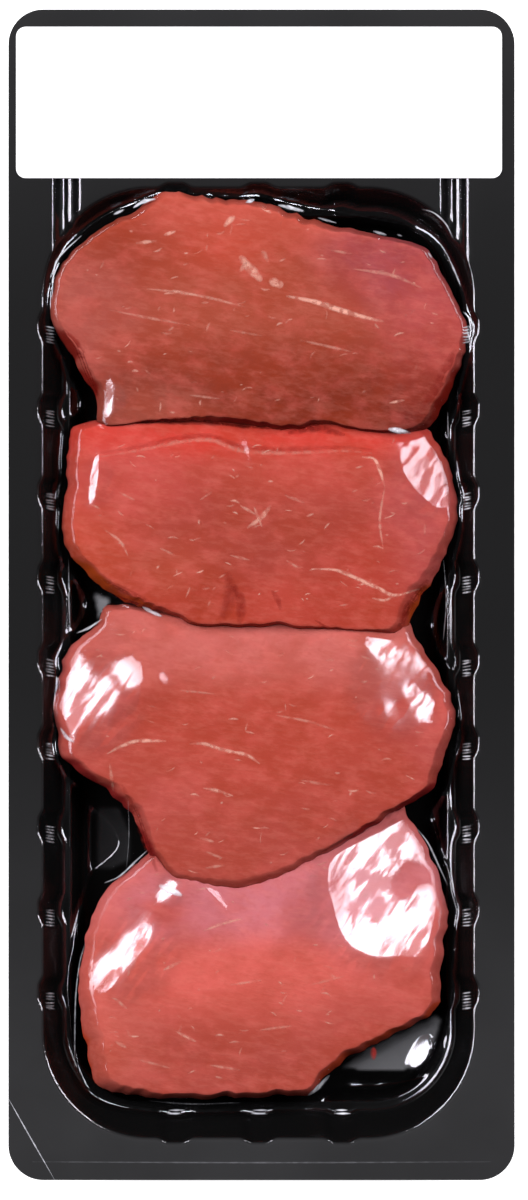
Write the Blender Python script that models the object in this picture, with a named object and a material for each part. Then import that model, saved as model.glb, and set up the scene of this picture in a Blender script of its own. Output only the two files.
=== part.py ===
"""Vacuum skin pack of four meat medallions, modelled lying flat.

A black thermoformed tray with lobed walls and a wide flange holds four shingled
medallions under a clear film that clings to them and to the tray. A bare white label
lies on the film over the wide end of the flange.
Units are metres, +Z is up, +Y points to the label end. The origin is the middle of the
tray's footprint on the surface that it stands on.
"""
import math
from collections import namedtuple

import bmesh
import bpy
import numpy as np
from mathutils import Vector
from mathutils.bvhtree import BVHTree
from mathutils.geometry import delaunay_2d_cdt

MM = 0.001
TINY = 1e-7

# A rounded rectangle seen from above, with the height at which it lies.
Ring = namedtuple("Ring", "left right bottom top radius z")

# Driving dimensions of the tray
TRAY_WIDTH = 121.5 * MM
TRAY_LENGTH = 281.0 * MM
TRAY_HEIGHT = 22.0 * MM
TRAY_CORNER = 8.4 * MM
SHEET = 0.7 * MM

# The cavity, from its mouth down to its floor
MOUTH = Ring(-52.7 * MM, 51.2 * MM, -130.9 * MM, 97.9 * MM, 26.0 * MM, TRAY_HEIGHT)
WALL_FOOT = Ring(-48.2 * MM, 46.9 * MM, -124.5 * MM, 93.8 * MM, 20.0 * MM, 12.0 * MM)
LEDGE_LIP = Ring(-46.1 * MM, 44.9 * MM, -122.1 * MM, 91.1 * MM, 18.0 * MM, 11.7 * MM)
FLOOR_EDGE = Ring(-43.6 * MM, 42.4 * MM, -119.6 * MM, 88.6 * MM, 15.5 * MM, SHEET)

# Upright lobes that stiffen the upper wall
LOBE_PITCH = 20.0 * MM
LOBE_LENGTH = 8.8 * MM
LOBE_DEPTH = 1.3 * MM
SIDE_LOBES = 9
SIDE_LOBES_MIDDLE = -15.6 * MM
END_LOBES = 3
END_LOBES_MIDDLE = -0.7 * MM
LOBE_STEPS = 6
CORNER_STEPS = 9

# Two shallow channels from the cavity's corners up under the label
CHANNEL_MIDDLES = (-46.85 * MM, 46.3 * MM)
CHANNEL_WIDTH = 7.5 * MM
CHANNEL_FLOOR_WIDTH = 4.4 * MM
CHANNEL_DEPTH = 2.2 * MM
CHANNEL_START = 60.0 * MM
CHANNEL_END = 128.0 * MM
CHANNEL_ROUNDING = 0.9
CHANNEL_STEPS = 4

# The medallions
GAP = 0.3 * MM
MEAT_POINTS = 40
SPLINE_STEPS = 12
BELLY_HEIGHT = 15.0 * MM
# Steps of the underside, as (distance in from the outline, height above the floor)
UNDERSIDE = ((8.0 * MM, 0.0), (3.4 * MM, 1.0 * MM), (1.5 * MM, 4.5 * MM))
LEDGE_INSET = 0.9 * MM
LEDGE_STEP = 0.15 * MM
LEDGE_CLEARANCE = 0.9 * MM
WALL_SEARCH_ROUNDS = 24
# The flank turns into the crown over this many steps: a power of 2 is round, less is a chamfer
FLANK_STEPS = 3
FLANK_POWER = 1.4
LEAST_RISE = 1.0 * MM
# Rings of the crown, as shares of the way out from the middle to the flank
CROWN_RINGS = (0.85, 0.62, 0.35)
# The tucked edge: how it wanes round the outline and inwards, and its share in the belly
TUCK_POWER = 1.5
TUCK_REACH = 12.0 * MM
TUCK_CALM = 8.0 * MM
BELLY_TUCK = 0.7
FACET_SOFTNESS = 2.5 * MM

# Film and label
FILM_THICKNESS = 0.3 * MM
FILM_MARGIN = 0.4 * MM
FILM_CLEARANCE = 0.2 * MM
FILM_SAMPLE = 0.45 * MM
FILM_STATION = 12.0 * MM
FILM_CORNER_STEPS = 6
FILM_GRID = 7.5 * MM
FILM_POINT_SPACING = 1.3 * MM
FILM_SEAL = 1.5 * MM
FILM_COLLAR = 0.35 * MM
FILM_SKIRT = 2.3 * MM
FILM_SHOULDER = 3.0 * MM
FILM_TOLERANCE = 0.005 * MM
LEAST_WEIGHT = 0.01
LIFT_ROUNDS = 300
DRAW_ROUNDS = 200
RAY_HEIGHT = 0.1
LABEL = Ring(-58.9 * MM, 57.7 * MM, 100.0 * MM, 136.3 * MM, 2.3 * MM, 0.0)
LABEL_STEPS = 6
LABEL_THICKNESS = 0.3 * MM

# Each medallion, in millimetres: its outline as x, y and how wide the flank is there, the
# height of its crown, the sideways tilt of its top, how deep its label-side edge is tucked
# under the piece before it, and its sloping facets as x, y, the way down in degrees, the
# steepness and half the width.
Medallion = namedtuple("Medallion", "outline crown tilt tuck facets")
MEDALLIONS = (
    Medallion(
        outline=((-23.2, 96.9, 2.0), (-12.6, 95.9, 1.6), (1.1, 94.3, 1.6), (12.4, 90.7, 1.8),
                 (28.6, 86.6, 1.6), (39.5, 83.7, 1.6), (46.3, 72.0, 1.6), (49.7, 62.3, 1.6),
                 (46.3, 50.2, 2.2), (41.4, 41.3, 2.5), (35.4, 38.6, 1.6), (24.8, 38.8, 1.4),
                 (14.8, 40.7, 1.4), (6.8, 39.1, 1.4), (-10.2, 41.3, 1.4), (-28.0, 40.9, 1.4),
                 (-38.8, 39.9, 1.8), (-40.5, 47.0, 2.6), (-45.4, 56.7, 2.8), (-50.6, 66.4, 2.0),
                 (-49.3, 77.9, 1.6), (-43.4, 84.6, 1.6), (-36.1, 89.8, 1.6), (-29.2, 93.8, 2.0)),
        crown=22.6, tilt=0.4, tuck=0.0,
        facets=((-36.5, 50.0, 190, 0.12, 7), (-2.0, 90.0, 80, 0.12, 20))),
    Medallion(
        outline=((-43.6, 41.5, 2.5), (-46.6, 36.2, 3.0), (-47.4, 24.2, 3.0), (-48.2, 13.1, 3.0),
                 (-44.8, 7.9, 3.0), (-38.5, 1.5, 3.2), (-32.8, -2.0, 3.2), (-24.4, -4.6, 2.8),
                 (-14.8, -7.9, 1.6), (-1.3, -8.1, 1.2), (13.2, -8.6, 1.2), (24.8, -9.2, 1.6),
                 (34.4, -9.4, 3.4), (38.3, -1.7, 4.0), (42.8, 5.9, 3.0), (46.7, 16.0, 2.5),
                 (47.3, 21.5, 2.5), (45.2, 31.9, 2.5), (41.9, 37.1, 2.5), (38.0, 40.7, 2.0),
                 (18.8, 42.4, 2.0), (-5.2, 42.4, 2.0), (-26.8, 42.4, 2.0)),
        crown=22.0, tilt=-0.8, tuck=4.0,
        facets=((31.0, 28.0, 25, 0.15, 11), (-36.0, 28.0, 178, 0.15, 12))),
    Medallion(
        outline=((-36.1, -2.0, 2.0), (-40.0, -7.3, 2.2), (-46.9, -13.3, 2.5), (-49.4, -21.4, 2.5),
                 (-50.2, -29.5, 3.0), (-48.4, -38.9, 3.2), (-43.4, -43.3, 3.2),
                 (-36.4, -48.3, 3.2), (-30.4, -54.6, 3.2), (-27.7, -61.3, 2.6),
                 (-22.3, -69.1, 2.0), (-11.0, -72.3, 1.5), (-3.0, -72.0, 1.5), (9.2, -67.0, 1.5),
                 (21.2, -59.8, 1.5), (33.2, -51.9, 1.6), (41.5, -46.5, 2.2), (44.0, -38.9, 2.6),
                 (47.0, -28.1, 2.2), (42.8, -18.8, 2.0), (37.4, -10.1, 2.0), (33.2, -4.5, 2.0),
                 (9.2, -5.0, 2.0), (-14.8, -4.5, 2.0)),
        crown=21.6, tilt=0.0, tuck=4.0,
        facets=((-31.0, -26.0, 160, 0.16, 11), (27.0, -24.0, 30, 0.15, 11))),
    Medallion(
        outline=((-25.0, -58.5, 2.0), (-27.6, -62.2, 2.0), (-34.0, -67.5, 2.2),
                 (-38.1, -71.9, 2.5), (-42.1, -80.5, 2.8), (-44.2, -91.3, 3.2),
                 (-43.6, -102.1, 4.5), (-41.4, -113.9, 5.0), (-38.0, -119.0, 3.5),
                 (-26.4, -121.2, 2.0), (-14.3, -121.5, 1.6), (5.9, -120.8, 1.6),
                 (11.6, -120.5, 2.0), (18.0, -113.9, 2.0), (26.1, -109.0, 2.0),
                 (41.5, -101.0, 2.0), (43.2, -97.7, 2.4), (43.6, -90.0, 2.6), (45.1, -76.7, 2.4),
                 (42.8, -66.8, 2.2), (37.4, -56.0, 2.0), (31.5, -48.5, 2.0), (18.8, -54.0, 2.0),
                 (4.4, -61.5, 2.0), (-11.2, -65.0, 2.0), (-19.6, -62.5, 2.0)),
        crown=21.2, tilt=0.0, tuck=3.0,
        facets=((17.0, -77.0, 35, 0.16, 16), (-28.0, -88.0, 155, 0.15, 12))),
)


def clear_objects():
    for item in list(bpy.data.objects):
        bpy.data.objects.remove(item, do_unlink=True)


def make_collection(name):
    collection = bpy.data.collections.new(name)
    bpy.context.scene.collection.children.link(collection)
    return collection


def make_material(name, colour, roughness, metallic=0.0, alpha=1.0):
    material = bpy.data.materials.new(name)
    material.use_nodes = True
    shader = material.node_tree.nodes["Principled BSDF"]
    shader.inputs["Base Color"].default_value = (*colour, 1.0)
    shader.inputs["Roughness"].default_value = roughness
    shader.inputs["Metallic"].default_value = metallic
    shader.inputs["Alpha"].default_value = alpha
    material.diffuse_color = (*colour, alpha)
    return material


def add_object(name, mesh, collection, material=None):
    item = bpy.data.objects.new(name, mesh)
    if material:
        mesh.materials.append(material)
    collection.objects.link(item)
    return item


def add_guide(name, mesh, collection):
    """An object that only cuts or joins, and is not part of the pack."""
    item = add_object(name, mesh, collection)
    item.hide_render = True
    item.display_type = "WIRE"
    return item


def loft(name, rings):
    """A closed solid through rings of equal point counts, lowest ring first."""
    mesh = bpy.data.meshes.new(name)
    bm = bmesh.new()
    loops = [[bm.verts.new(point) for point in ring] for ring in rings]
    for lower, upper in zip(loops, loops[1:]):
        for i in range(len(lower)):
            j = (i + 1) % len(lower)
            bm.faces.new((lower[i], lower[j], upper[j], upper[i]))
    bm.faces.new(list(reversed(loops[0])))
    bm.faces.new(loops[-1])
    bmesh.ops.recalc_face_normals(bm, faces=bm.faces)
    bm.to_mesh(mesh)
    bm.free()
    return mesh


def grow(ring, distance, z):
    """The ring moved outwards in plan and laid at height z."""
    return Ring(ring.left - distance, ring.right + distance, ring.bottom - distance,
                ring.top + distance, ring.radius + distance, z)


def lobe_centres(count, middle):
    return [middle + LOBE_PITCH * (i - (count - 1) / 2) for i in range(count)]


def lobe_stations(centres):
    """Places along a wall at which its lobes are sampled."""
    steps = [LOBE_LENGTH * (i / LOBE_STEPS - 0.5) for i in range(LOBE_STEPS + 1)]
    return [centre + step for centre in centres for step in steps]


def lobe_bulge(place, centres):
    """How far the wall is pushed out at a place along it."""
    nearest = min(abs(place - centre) for centre in centres)
    if nearest >= LOBE_LENGTH / 2:
        return 0.0
    return LOBE_DEPTH * math.cos(math.pi * nearest / LOBE_LENGTH) ** 2


def corner_arc(centre_x, centre_y, radius, start, steps):
    """Points of a quarter circle, turning left from the start angle."""
    angles = [start + math.pi / 2 * i / steps for i in range(steps + 1)]
    return [(centre_x + radius * math.cos(a), centre_y + radius * math.sin(a)) for a in angles]


def ring_points(ring, side=(), ends=(), lobed=False, steps=CORNER_STEPS):
    """Points round a ring, anticlockwise from its right side."""
    left = ring.left + ring.radius
    right = ring.right - ring.radius
    low = ring.bottom + ring.radius
    high = ring.top - ring.radius
    side_lobes = lobe_centres(SIDE_LOBES, SIDE_LOBES_MIDDLE)
    end_lobes = lobe_centres(END_LOBES, END_LOBES_MIDDLE)

    def push(place, centres):
        return lobe_bulge(place, centres) if lobed else 0.0

    outline = [(ring.right + push(y, side_lobes), y) for y in sorted(side)]
    outline += corner_arc(right, high, ring.radius, 0.0, steps)
    outline += [(x, ring.top + push(x, end_lobes)) for x in sorted(ends, reverse=True)]
    outline += corner_arc(left, high, ring.radius, math.pi / 2, steps)
    outline += [(ring.left - push(y, side_lobes), y) for y in sorted(side, reverse=True)]
    outline += corner_arc(left, low, ring.radius, math.pi, steps)
    outline += [(x, ring.bottom - push(x, end_lobes)) for x in sorted(ends)]
    outline += corner_arc(right, low, ring.radius, 1.5 * math.pi, steps)
    return [(x, y, ring.z) for x, y in outline]


def tray_outline(inset, z, steps=CORNER_STEPS):
    half_x = TRAY_WIDTH / 2 - inset
    half_y = TRAY_LENGTH / 2 - inset
    return ring_points(Ring(-half_x, half_x, -half_y, half_y, TRAY_CORNER - inset, z), steps=steps)


def cavity_solid(name, offset, top):
    """The cavity's form, grown by an offset, with its walls carried up to a height."""
    side = lobe_stations(lobe_centres(SIDE_LOBES, SIDE_LOBES_MIDDLE))
    ends = lobe_stations(lobe_centres(END_LOBES, END_LOBES_MIDDLE))
    rings = []
    for ring, lobed in ((FLOOR_EDGE, False), (LEDGE_LIP, False), (WALL_FOOT, True), (MOUTH, True)):
        grown = grow(ring, offset, ring.z - offset)
        rings.append(ring_points(grown, side, ends, lobed))
    rings.append([(x, y, top) for x, y, _ in rings[-1]])
    return loft(name, rings)


def channel_solid(name, middle, offset, top):
    """One channel's form, grown by an offset, with its walls carried up to a height."""
    rings = []
    for width, z in ((CHANNEL_FLOOR_WIDTH, TRAY_HEIGHT - CHANNEL_DEPTH), (CHANNEL_WIDTH, TRAY_HEIGHT)):
        half = width / 2
        end = CHANNEL_END - (CHANNEL_WIDTH - width) / 2
        ring = Ring(middle - half, middle + half, CHANNEL_START, end, half * CHANNEL_ROUNDING, z)
        rings.append(ring_points(grow(ring, offset, z - offset), steps=CHANNEL_STEPS))
    rings.append([(x, y, top) for x, y, _ in rings[-1]])
    return loft(name, rings)


def make_tray(collection, joins, cuts, material):
    """Flange plate joined to the outer skins, then hollowed by the inner ones."""
    low = tray_outline(0.0, TRAY_HEIGHT - SHEET)
    high = tray_outline(0.0, TRAY_HEIGHT)
    tray = add_object("tray", loft("tray", (low, high)), collection, material)

    in_plate = TRAY_HEIGHT - SHEET / 2
    above = TRAY_HEIGHT + 2 * MM
    add_guide("cavity_outside", cavity_solid("cavity_outside", SHEET, in_plate), joins)
    add_guide("cavity_inside", cavity_solid("cavity_inside", 0.0, above), cuts)
    for middle in CHANNEL_MIDDLES:
        outside = channel_solid("channel_outside", middle, SHEET, in_plate)
        add_guide("channel_outside", outside, joins)
        add_guide("channel_inside", channel_solid("channel_inside", middle, 0.0, above), cuts)

    for operation, operands in (("UNION", joins), ("DIFFERENCE", cuts)):
        boolean = tray.modifiers.new(operation.title(), "BOOLEAN")
        boolean.operation = operation
        boolean.operand_type = "COLLECTION"
        boolean.collection = operands
    return tray


def smooth_outline(corners, count):
    """A closed Catmull-Rom curve through the corners, as evenly spaced points.

    A point's x and y are its place and its z is the width of the flank there.
    """
    knots = [Vector(corner) * MM for corner in corners]
    dense = []
    for i in range(len(knots)):
        a, b, c, d = (knots[(i + k) % len(knots)] for k in (-1, 0, 1, 2))
        for step in range(SPLINE_STEPS):
            t = step / SPLINE_STEPS
            dense.append(0.5 * (2 * b + (c - a) * t + (2 * a - 5 * b + 4 * c - d) * t ** 2
                                + (3 * b - a - 3 * c + d) * t ** 3))
    lengths = [0.0]
    for i in range(len(dense)):
        lengths.append(lengths[-1] + (dense[(i + 1) % len(dense)] - dense[i]).to_2d().length)
    even = []
    k = 0
    for i in range(count):
        target = lengths[-1] * i / count
        while lengths[k + 1] < target:
            k += 1
        share = (target - lengths[k]) / (lengths[k + 1] - lengths[k])
        even.append(dense[k].lerp(dense[(k + 1) % len(dense)], share))
    return even


def outline_middle(outline):
    return sum((point.to_2d() for point in outline), Vector((0.0, 0.0))) / len(outline)


def ring_between(lower, upper, z):
    """The cavity's ring at a height between two of its rings."""
    share = (z - lower.z) / (upper.z - lower.z)
    return Ring(*(a + (b - a) * share for a, b in zip(lower, upper)))


def cavity_ring(z):
    """The cavity's inner outline at a height, lobes left out."""
    if z >= MOUTH.z:
        return MOUTH
    if z >= WALL_FOOT.z:
        return ring_between(WALL_FOOT, MOUTH, z)
    if z >= LEDGE_LIP.z:
        return ring_between(LEDGE_LIP, WALL_FOOT, z)
    return ring_between(FLOOR_EDGE, LEDGE_LIP, max(z, FLOOR_EDGE.z))


def keep_inside(x, y, ring):
    """The nearest point to x, y that is clear of the ring's wall."""
    core_x = min(max(x, ring.left + ring.radius), ring.right - ring.radius)
    core_y = min(max(y, ring.bottom + ring.radius), ring.top - ring.radius)
    reach = math.hypot(x - core_x, y - core_y)
    limit = ring.radius - GAP
    if reach <= limit:
        return x, y
    return core_x + (x - core_x) * limit / reach, core_y + (y - core_y) * limit / reach


def wall_height(x, y):
    """Height of the upper wall above a point, or the ledge's if the wall isn't there."""
    low, high = WALL_FOOT.z, MOUTH.z
    for _ in range(WALL_SEARCH_ROUNDS):
        middle = (low + high) / 2
        if math.dist(keep_inside(x, y, cavity_ring(middle)), (x, y)) < TINY:
            high = middle
        else:
            low = middle
    return high


def facet_drop(facets, x, y):
    """How far the facets lower the crown at a point."""
    drop = 0.0
    for facet_x, facet_y, heading, steepness, width in facets:
        turn = math.radians(heading)
        away_x = x - facet_x * MM
        away_y = y - facet_y * MM
        out = away_x * math.cos(turn) + away_y * math.sin(turn)
        aside = (away_y * math.cos(turn) - away_x * math.sin(turn)) / (width * MM)
        depth = steepness * FACET_SOFTNESS * math.log1p(math.exp(out / FACET_SOFTNESS))
        drop += depth * math.exp(-aside ** 2 / 2)
    return drop


def medallion_solid(name, shape, growth=0.0):
    """A rounded slab of meat, its edge resting on the tray's wall where it reaches it."""
    outline = smooth_outline(shape.outline, MEAT_POINTS)
    centre = outline_middle(outline)
    half_width = max(abs(point.x - centre.x) for point in outline)

    def tuck(arm, calm):
        upward = max(0.0, arm.y) / math.hypot(arm.x, arm.y, calm)
        return shape.tuck * MM * upward ** TUCK_POWER

    def crown(x, y, inset):
        arm = Vector((x, y)) - centre
        height = (shape.crown + shape.tilt * arm.x / half_width) * MM
        height -= tuck(arm, TUCK_CALM) * math.exp(-inset / TUCK_REACH)
        return height - facet_drop(shape.facets, x, y)

    def inwards(point, inset):
        arm = point.to_2d() - centre
        return centre + arm * (1 - (inset - growth) / arm.length)

    rings = []
    for inset, height in UNDERSIDE:
        z = SHEET + GAP + height - growth
        spots = [keep_inside(*inwards(point, inset), cavity_ring(z)) for point in outline]
        rings.append([(x, y, z) for x, y in spots])
    for ring, step in ((LEDGE_LIP, 0.0), (WALL_FOOT, LEDGE_STEP)):
        z = WALL_FOOT.z + GAP + step
        spots = [keep_inside(*inwards(point, LEDGE_INSET), ring) for point in outline]
        rings.append([(x, y, z) for x, y in spots])

    belly = []
    for point in outline:
        x, y = keep_inside(*inwards(point, 0.0), MOUTH)
        rest = BELLY_HEIGHT - BELLY_TUCK * tuck(point.to_2d() - centre, 0.0)
        belly.append((x, y, max(rest, wall_height(x, y) + GAP, WALL_FOOT.z + LEDGE_CLEARANCE)))
    rings.append(belly)
    for step in range(1, FLANK_STEPS + 1):
        turn = math.pi / 2 * step / FLANK_STEPS
        rise = math.sin(turn) ** (2 / FLANK_POWER)
        spots = []
        for point, (_, _, low) in zip(outline, belly):
            inset = point.z * (1 - max(0.0, math.cos(turn)) ** (2 / FLANK_POWER))
            x, y = inwards(point, inset)
            top = max(crown(x, y, inset), low + LEAST_RISE) + growth
            spots.append((*keep_inside(x, y, MOUTH), low + (top - low) * rise))
        rings.append(spots)
    for share in CROWN_RINGS:
        spots = []
        for point, (_, _, low) in zip(outline, belly):
            edge = inwards(point, point.z)
            x, y = centre + (edge - centre) * share
            inset = (point.to_2d() - Vector((x, y))).length
            spots.append((x, y, max(crown(x, y, inset), low + LEAST_RISE) + growth))
        rings.append(spots)
    return loft(name, rings)


def make_medallions(collection, cuts, material):
    """The pieces from the label end on, each trimmed where the one before it lies on it."""
    pieces = []
    for number, shape in enumerate(MEDALLIONS, start=1):
        name = f"medallion_{number}"
        piece = add_object(name, medallion_solid(name, shape), collection, material)
        if number > 1:
            above = medallion_solid(f"above_{number}", MEDALLIONS[number - 2], growth=GAP)
            cutter = add_guide(f"above_{number}", above, cuts)
            trim = piece.modifiers.new("Trim", "BOOLEAN")
            trim.operation = "DIFFERENCE"
            trim.object = cutter
        pieces.append(piece)
    return pieces


def surface_tree(items):
    """One search tree over the evaluated surfaces of several objects."""
    depsgraph = bpy.context.evaluated_depsgraph_get()
    points = []
    faces = []
    for item in items:
        evaluated = item.evaluated_get(depsgraph)
        mesh = evaluated.to_mesh()
        start = len(points)
        points += [item.matrix_world @ vertex.co for vertex in mesh.vertices]
        mesh.calc_loop_triangles()
        faces += [[start + i for i in triangle.vertices] for triangle in mesh.loop_triangles]
        evaluated.to_mesh_clear()
    return BVHTree.FromPolygons(points, faces)


def top_height(tree, x, y):
    hit = tree.ray_cast(Vector((x, y, RAY_HEIGHT)), Vector((0.0, 0.0, -1.0)))[0]
    return hit.z if hit else 0.0


def wide_height(tree, x, y, reach):
    """The highest surface within a short reach of a point."""
    spots = [(x, y)]
    spots += [(x + reach * math.cos(i * math.pi / 4), y + reach * math.sin(i * math.pi / 4))
              for i in range(8)]
    return max(top_height(tree, *spot) for spot in spots)


def stations(low, high):
    count = round((high - low) / FILM_STATION)
    return [low + (high - low) * (i + 0.5) / count for i in range(count)]


def film_points():
    """Plan points of the film, those that carry its main folds first, and its fixed edges."""
    points = [point[:2] for point in tray_outline(FILM_MARGIN, 0.0, steps=FILM_CORNER_STEPS)]
    rim = len(points)
    edges = [(i, (i + 1) % rim) for i in range(rim)]

    def add_chain(chain, fixed, limit=MOUTH):
        indices = []
        for x, y in chain:
            clear = math.dist(keep_inside(x, y, limit), (x, y)) < TINY
            if clear and all(math.dist((x, y), point) > FILM_POINT_SPACING for point in points):
                indices.append(len(points))
                points.append((x, y))
            else:
                indices.append(None)
        if fixed:
            pairs = zip(indices, indices[1:] + indices[:1])
            edges.extend(pair for pair in pairs if None not in pair)

    def add_ring(ring, fixed, limit=MOUTH):
        side = stations(ring.bottom + ring.radius, ring.top - ring.radius)
        ends = stations(ring.left + ring.radius, ring.right - ring.radius)
        outline = ring_points(ring, side, ends, steps=FILM_CORNER_STEPS)
        add_chain([point[:2] for point in outline], fixed, limit)

    seal = grow(MOUTH, FILM_SEAL, TRAY_HEIGHT)
    wide = grow(MOUTH, 2 * FILM_SEAL, TRAY_HEIGHT)
    add_ring(seal, False, wide)
    add_ring(MOUTH, True, wide)
    # Round each medallion: just outside it, along the top of its flank, then wider and narrower
    for spread, flanks, fixed in ((FILM_COLLAR, 0, True), (0.0, 1, True),
                                  (FILM_SKIRT, 0, False), (-FILM_SHOULDER, 1, False)):
        for shape in MEDALLIONS:
            outline = smooth_outline(shape.outline, MEAT_POINTS)
            centre = outline_middle(outline)
            chain = []
            for point in outline:
                arm = point.to_2d() - centre
                chain.append(tuple(centre + arm * (1 + (spread - flanks * point.z) / arm.length)))
            add_chain(chain, fixed)
    for ring in (LEDGE_LIP, WALL_FOOT, FLOOR_EDGE):
        add_ring(ring, False)
    columns = round((MOUTH.right - MOUTH.left) / FILM_GRID)
    rows = round((MOUTH.top - MOUTH.bottom) / FILM_GRID)
    for row in range(rows):
        y = MOUTH.bottom + (row + 0.5) * FILM_GRID
        shift = 0.5 + 0.5 * (row % 2)
        add_chain([(MOUTH.left + (column + shift) * FILM_GRID, y) for column in range(columns)], False)
    return points, edges


def film_samples(tree, points, triangles):
    """Fine samples of the triangles: their corners, the corners' shares and the floors below."""
    corners = []
    weights = []
    floors = []
    for triangle in triangles:
        a, b, c = (np.array(points[i]) for i in triangle)
        longest = max(np.linalg.norm(a - b), np.linalg.norm(b - c), np.linalg.norm(c - a))
        steps = max(2, math.ceil(longest / FILM_SAMPLE))
        for i in range(steps + 1):
            for j in range(steps + 1 - i):
                share = (i / steps, j / steps, 1 - (i + j) / steps)
                x, y = a * share[0] + b * share[1] + c * share[2]
                corners.append(triangle)
                weights.append(share)
                floors.append(top_height(tree, x, y) + FILM_CLEARANCE)
    return np.array(corners), np.array(weights), np.array(floors)


def drape(tree, points, triangles, rest):
    """Raises the film's points until it clears what lies under it, then draws it tight."""
    corners, weights, floors = film_samples(tree, points, triangles)
    norms = (weights ** 2).sum(axis=1)
    heights = rest.copy()
    for _ in range(LIFT_ROUNDS):
        short = floors - (heights[corners] * weights).sum(axis=1)
        if short.max() < FILM_TOLERANCE:
            break
        raised = weights * (np.maximum(short, 0.0) / norms)[:, None]
        step = np.zeros(len(heights))
        np.maximum.at(step, corners.ravel(), raised.ravel())
        heights = heights + step
    for _ in range(DRAW_ROUNDS):
        spare = (heights[corners] * weights).sum(axis=1) - floors
        room = np.maximum(spare, 0.0)[:, None] / np.maximum(weights, LEAST_WEIGHT) / 3
        room[weights < LEAST_WEIGHT] = 1.0
        step = np.full(len(heights), 1.0)
        np.minimum.at(step, corners.ravel(), room.ravel())
        heights = np.maximum(heights - step, rest)
    return heights


def make_film(collection, carriers, material):
    """A thin sheet sealed on the flange and drawn down over the medallions."""
    tree = surface_tree(carriers)
    wanted, edges = film_points()
    vectors = [Vector(point) for point in wanted]
    spots, _, triangles, _, _, _ = delaunay_2d_cdt(vectors, edges, [], 0, TINY)
    points = [tuple(spot) for spot in spots]
    rest = []
    for x, y in points:
        on_flange = math.dist(keep_inside(x, y, MOUTH), (x, y)) > TINY
        below = TRAY_HEIGHT if on_flange else wide_height(tree, x, y, 2 * FILM_COLLAR)
        rest.append(below + GAP)
    heights = drape(tree, points, triangles, np.array(rest))

    mesh = bpy.data.meshes.new("skin_film")
    bm = bmesh.new()
    lower = [bm.verts.new((x, y, z)) for (x, y), z in zip(points, heights)]
    for triangle in triangles:
        bm.faces.new([lower[i] for i in triangle])
    sheet = list(bm.faces)
    copy = bmesh.ops.duplicate(bm, geom=list(bm.verts) + list(bm.edges) + sheet)
    upper = [copy["vert_map"][vertex] for vertex in lower]
    for vertex in upper:
        vertex.co.z += FILM_THICKNESS
    for edge in [edge for edge in bm.edges if len(edge.link_faces) == 1 and edge.verts[0] in lower]:
        a, b = edge.verts
        bm.faces.new((a, b, copy["vert_map"][b], copy["vert_map"][a]))
    bmesh.ops.recalc_face_normals(bm, faces=bm.faces)
    bm.to_mesh(mesh)
    bm.free()
    return add_object("skin_film", mesh, collection, material)


def make_label(collection, material):
    low = TRAY_HEIGHT + 2 * GAP + FILM_THICKNESS
    heights = (low, low + LABEL_THICKNESS)
    rings = [ring_points(grow(LABEL, 0.0, z), steps=LABEL_STEPS) for z in heights]
    return add_object("label", loft("label", rings), collection, material)


def main():
    clear_objects()
    pack = make_collection("meat_tray_pack")
    joins = make_collection("tray_joins")
    cuts = make_collection("tray_cuts")
    overlaps = make_collection("medallion_cuts")
    plastic = make_material("black_plastic", (0.022, 0.023, 0.024), 0.32)
    meat = make_material("raw_meat", (0.45, 0.09, 0.06), 0.3)
    clear = make_material("clear_film", (0.9, 0.9, 0.92), 0.08, alpha=0.15)
    paper = make_material("white_paper", (0.93, 0.93, 0.93), 0.6)

    tray = make_tray(pack, joins, cuts, plastic)
    pieces = make_medallions(pack, overlaps, meat)
    bpy.context.view_layer.update()
    make_film(pack, [tray] + pieces, clear)
    make_label(pack, paper)


main()
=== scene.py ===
"""Looks of the vacuum skin pack: black tray, four raw medallions, clinging film and label.

Lengths are in metres and stated through MM. The frame's +Z is up and +Y points to the
label end, so places read as they do in a view from above with the label at the top.
"""

import math
import random
from collections import namedtuple

import bmesh
import bpy
import numpy as np
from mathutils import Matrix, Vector, noise
from mathutils.bvhtree import BVHTree
from mathutils.geometry import delaunay_2d_cdt


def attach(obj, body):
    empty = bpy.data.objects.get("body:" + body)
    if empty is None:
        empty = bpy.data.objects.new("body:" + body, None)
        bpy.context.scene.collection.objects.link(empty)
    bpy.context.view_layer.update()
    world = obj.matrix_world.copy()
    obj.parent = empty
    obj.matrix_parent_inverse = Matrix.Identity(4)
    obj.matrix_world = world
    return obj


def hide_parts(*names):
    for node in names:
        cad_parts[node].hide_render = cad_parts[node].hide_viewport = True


MM = 0.001
Ring = namedtuple("Ring", "left right bottom top radius z")
Medallion = namedtuple("Medallion", "outline crown tilt tuck facets slopes tones flank")

# Tray, as in the frame
TRAY_WIDTH = 121.5 * MM
TRAY_LENGTH = 281.0 * MM
TRAY_HEIGHT = 22.0 * MM
TRAY_CORNER = 8.4 * MM
SHEET = 0.7 * MM
MOUTH = Ring(-52.7 * MM, 51.2 * MM, -130.9 * MM, 97.9 * MM, 26.0 * MM, TRAY_HEIGHT)
WALL_FOOT = Ring(-48.2 * MM, 46.9 * MM, -124.5 * MM, 93.8 * MM, 20.0 * MM, 12.0 * MM)
LEDGE_LIP = Ring(-46.1 * MM, 44.9 * MM, -122.1 * MM, 91.1 * MM, 18.0 * MM, 11.7 * MM)
FLOOR_EDGE = Ring(-43.6 * MM, 42.4 * MM, -119.6 * MM, 88.6 * MM, 15.5 * MM, SHEET)
LOBE_PITCH = 20.0 * MM
LOBE_LENGTH = 9.4 * MM
LOBE_DEPTH = 1.15 * MM
LOBE_TOP = 3.0 * MM
SIDE_LOBES = 9
SIDE_LOBES_MIDDLE = -15.6 * MM
END_LOBES = 3
END_LOBES_MIDDLE = -0.7 * MM

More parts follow.
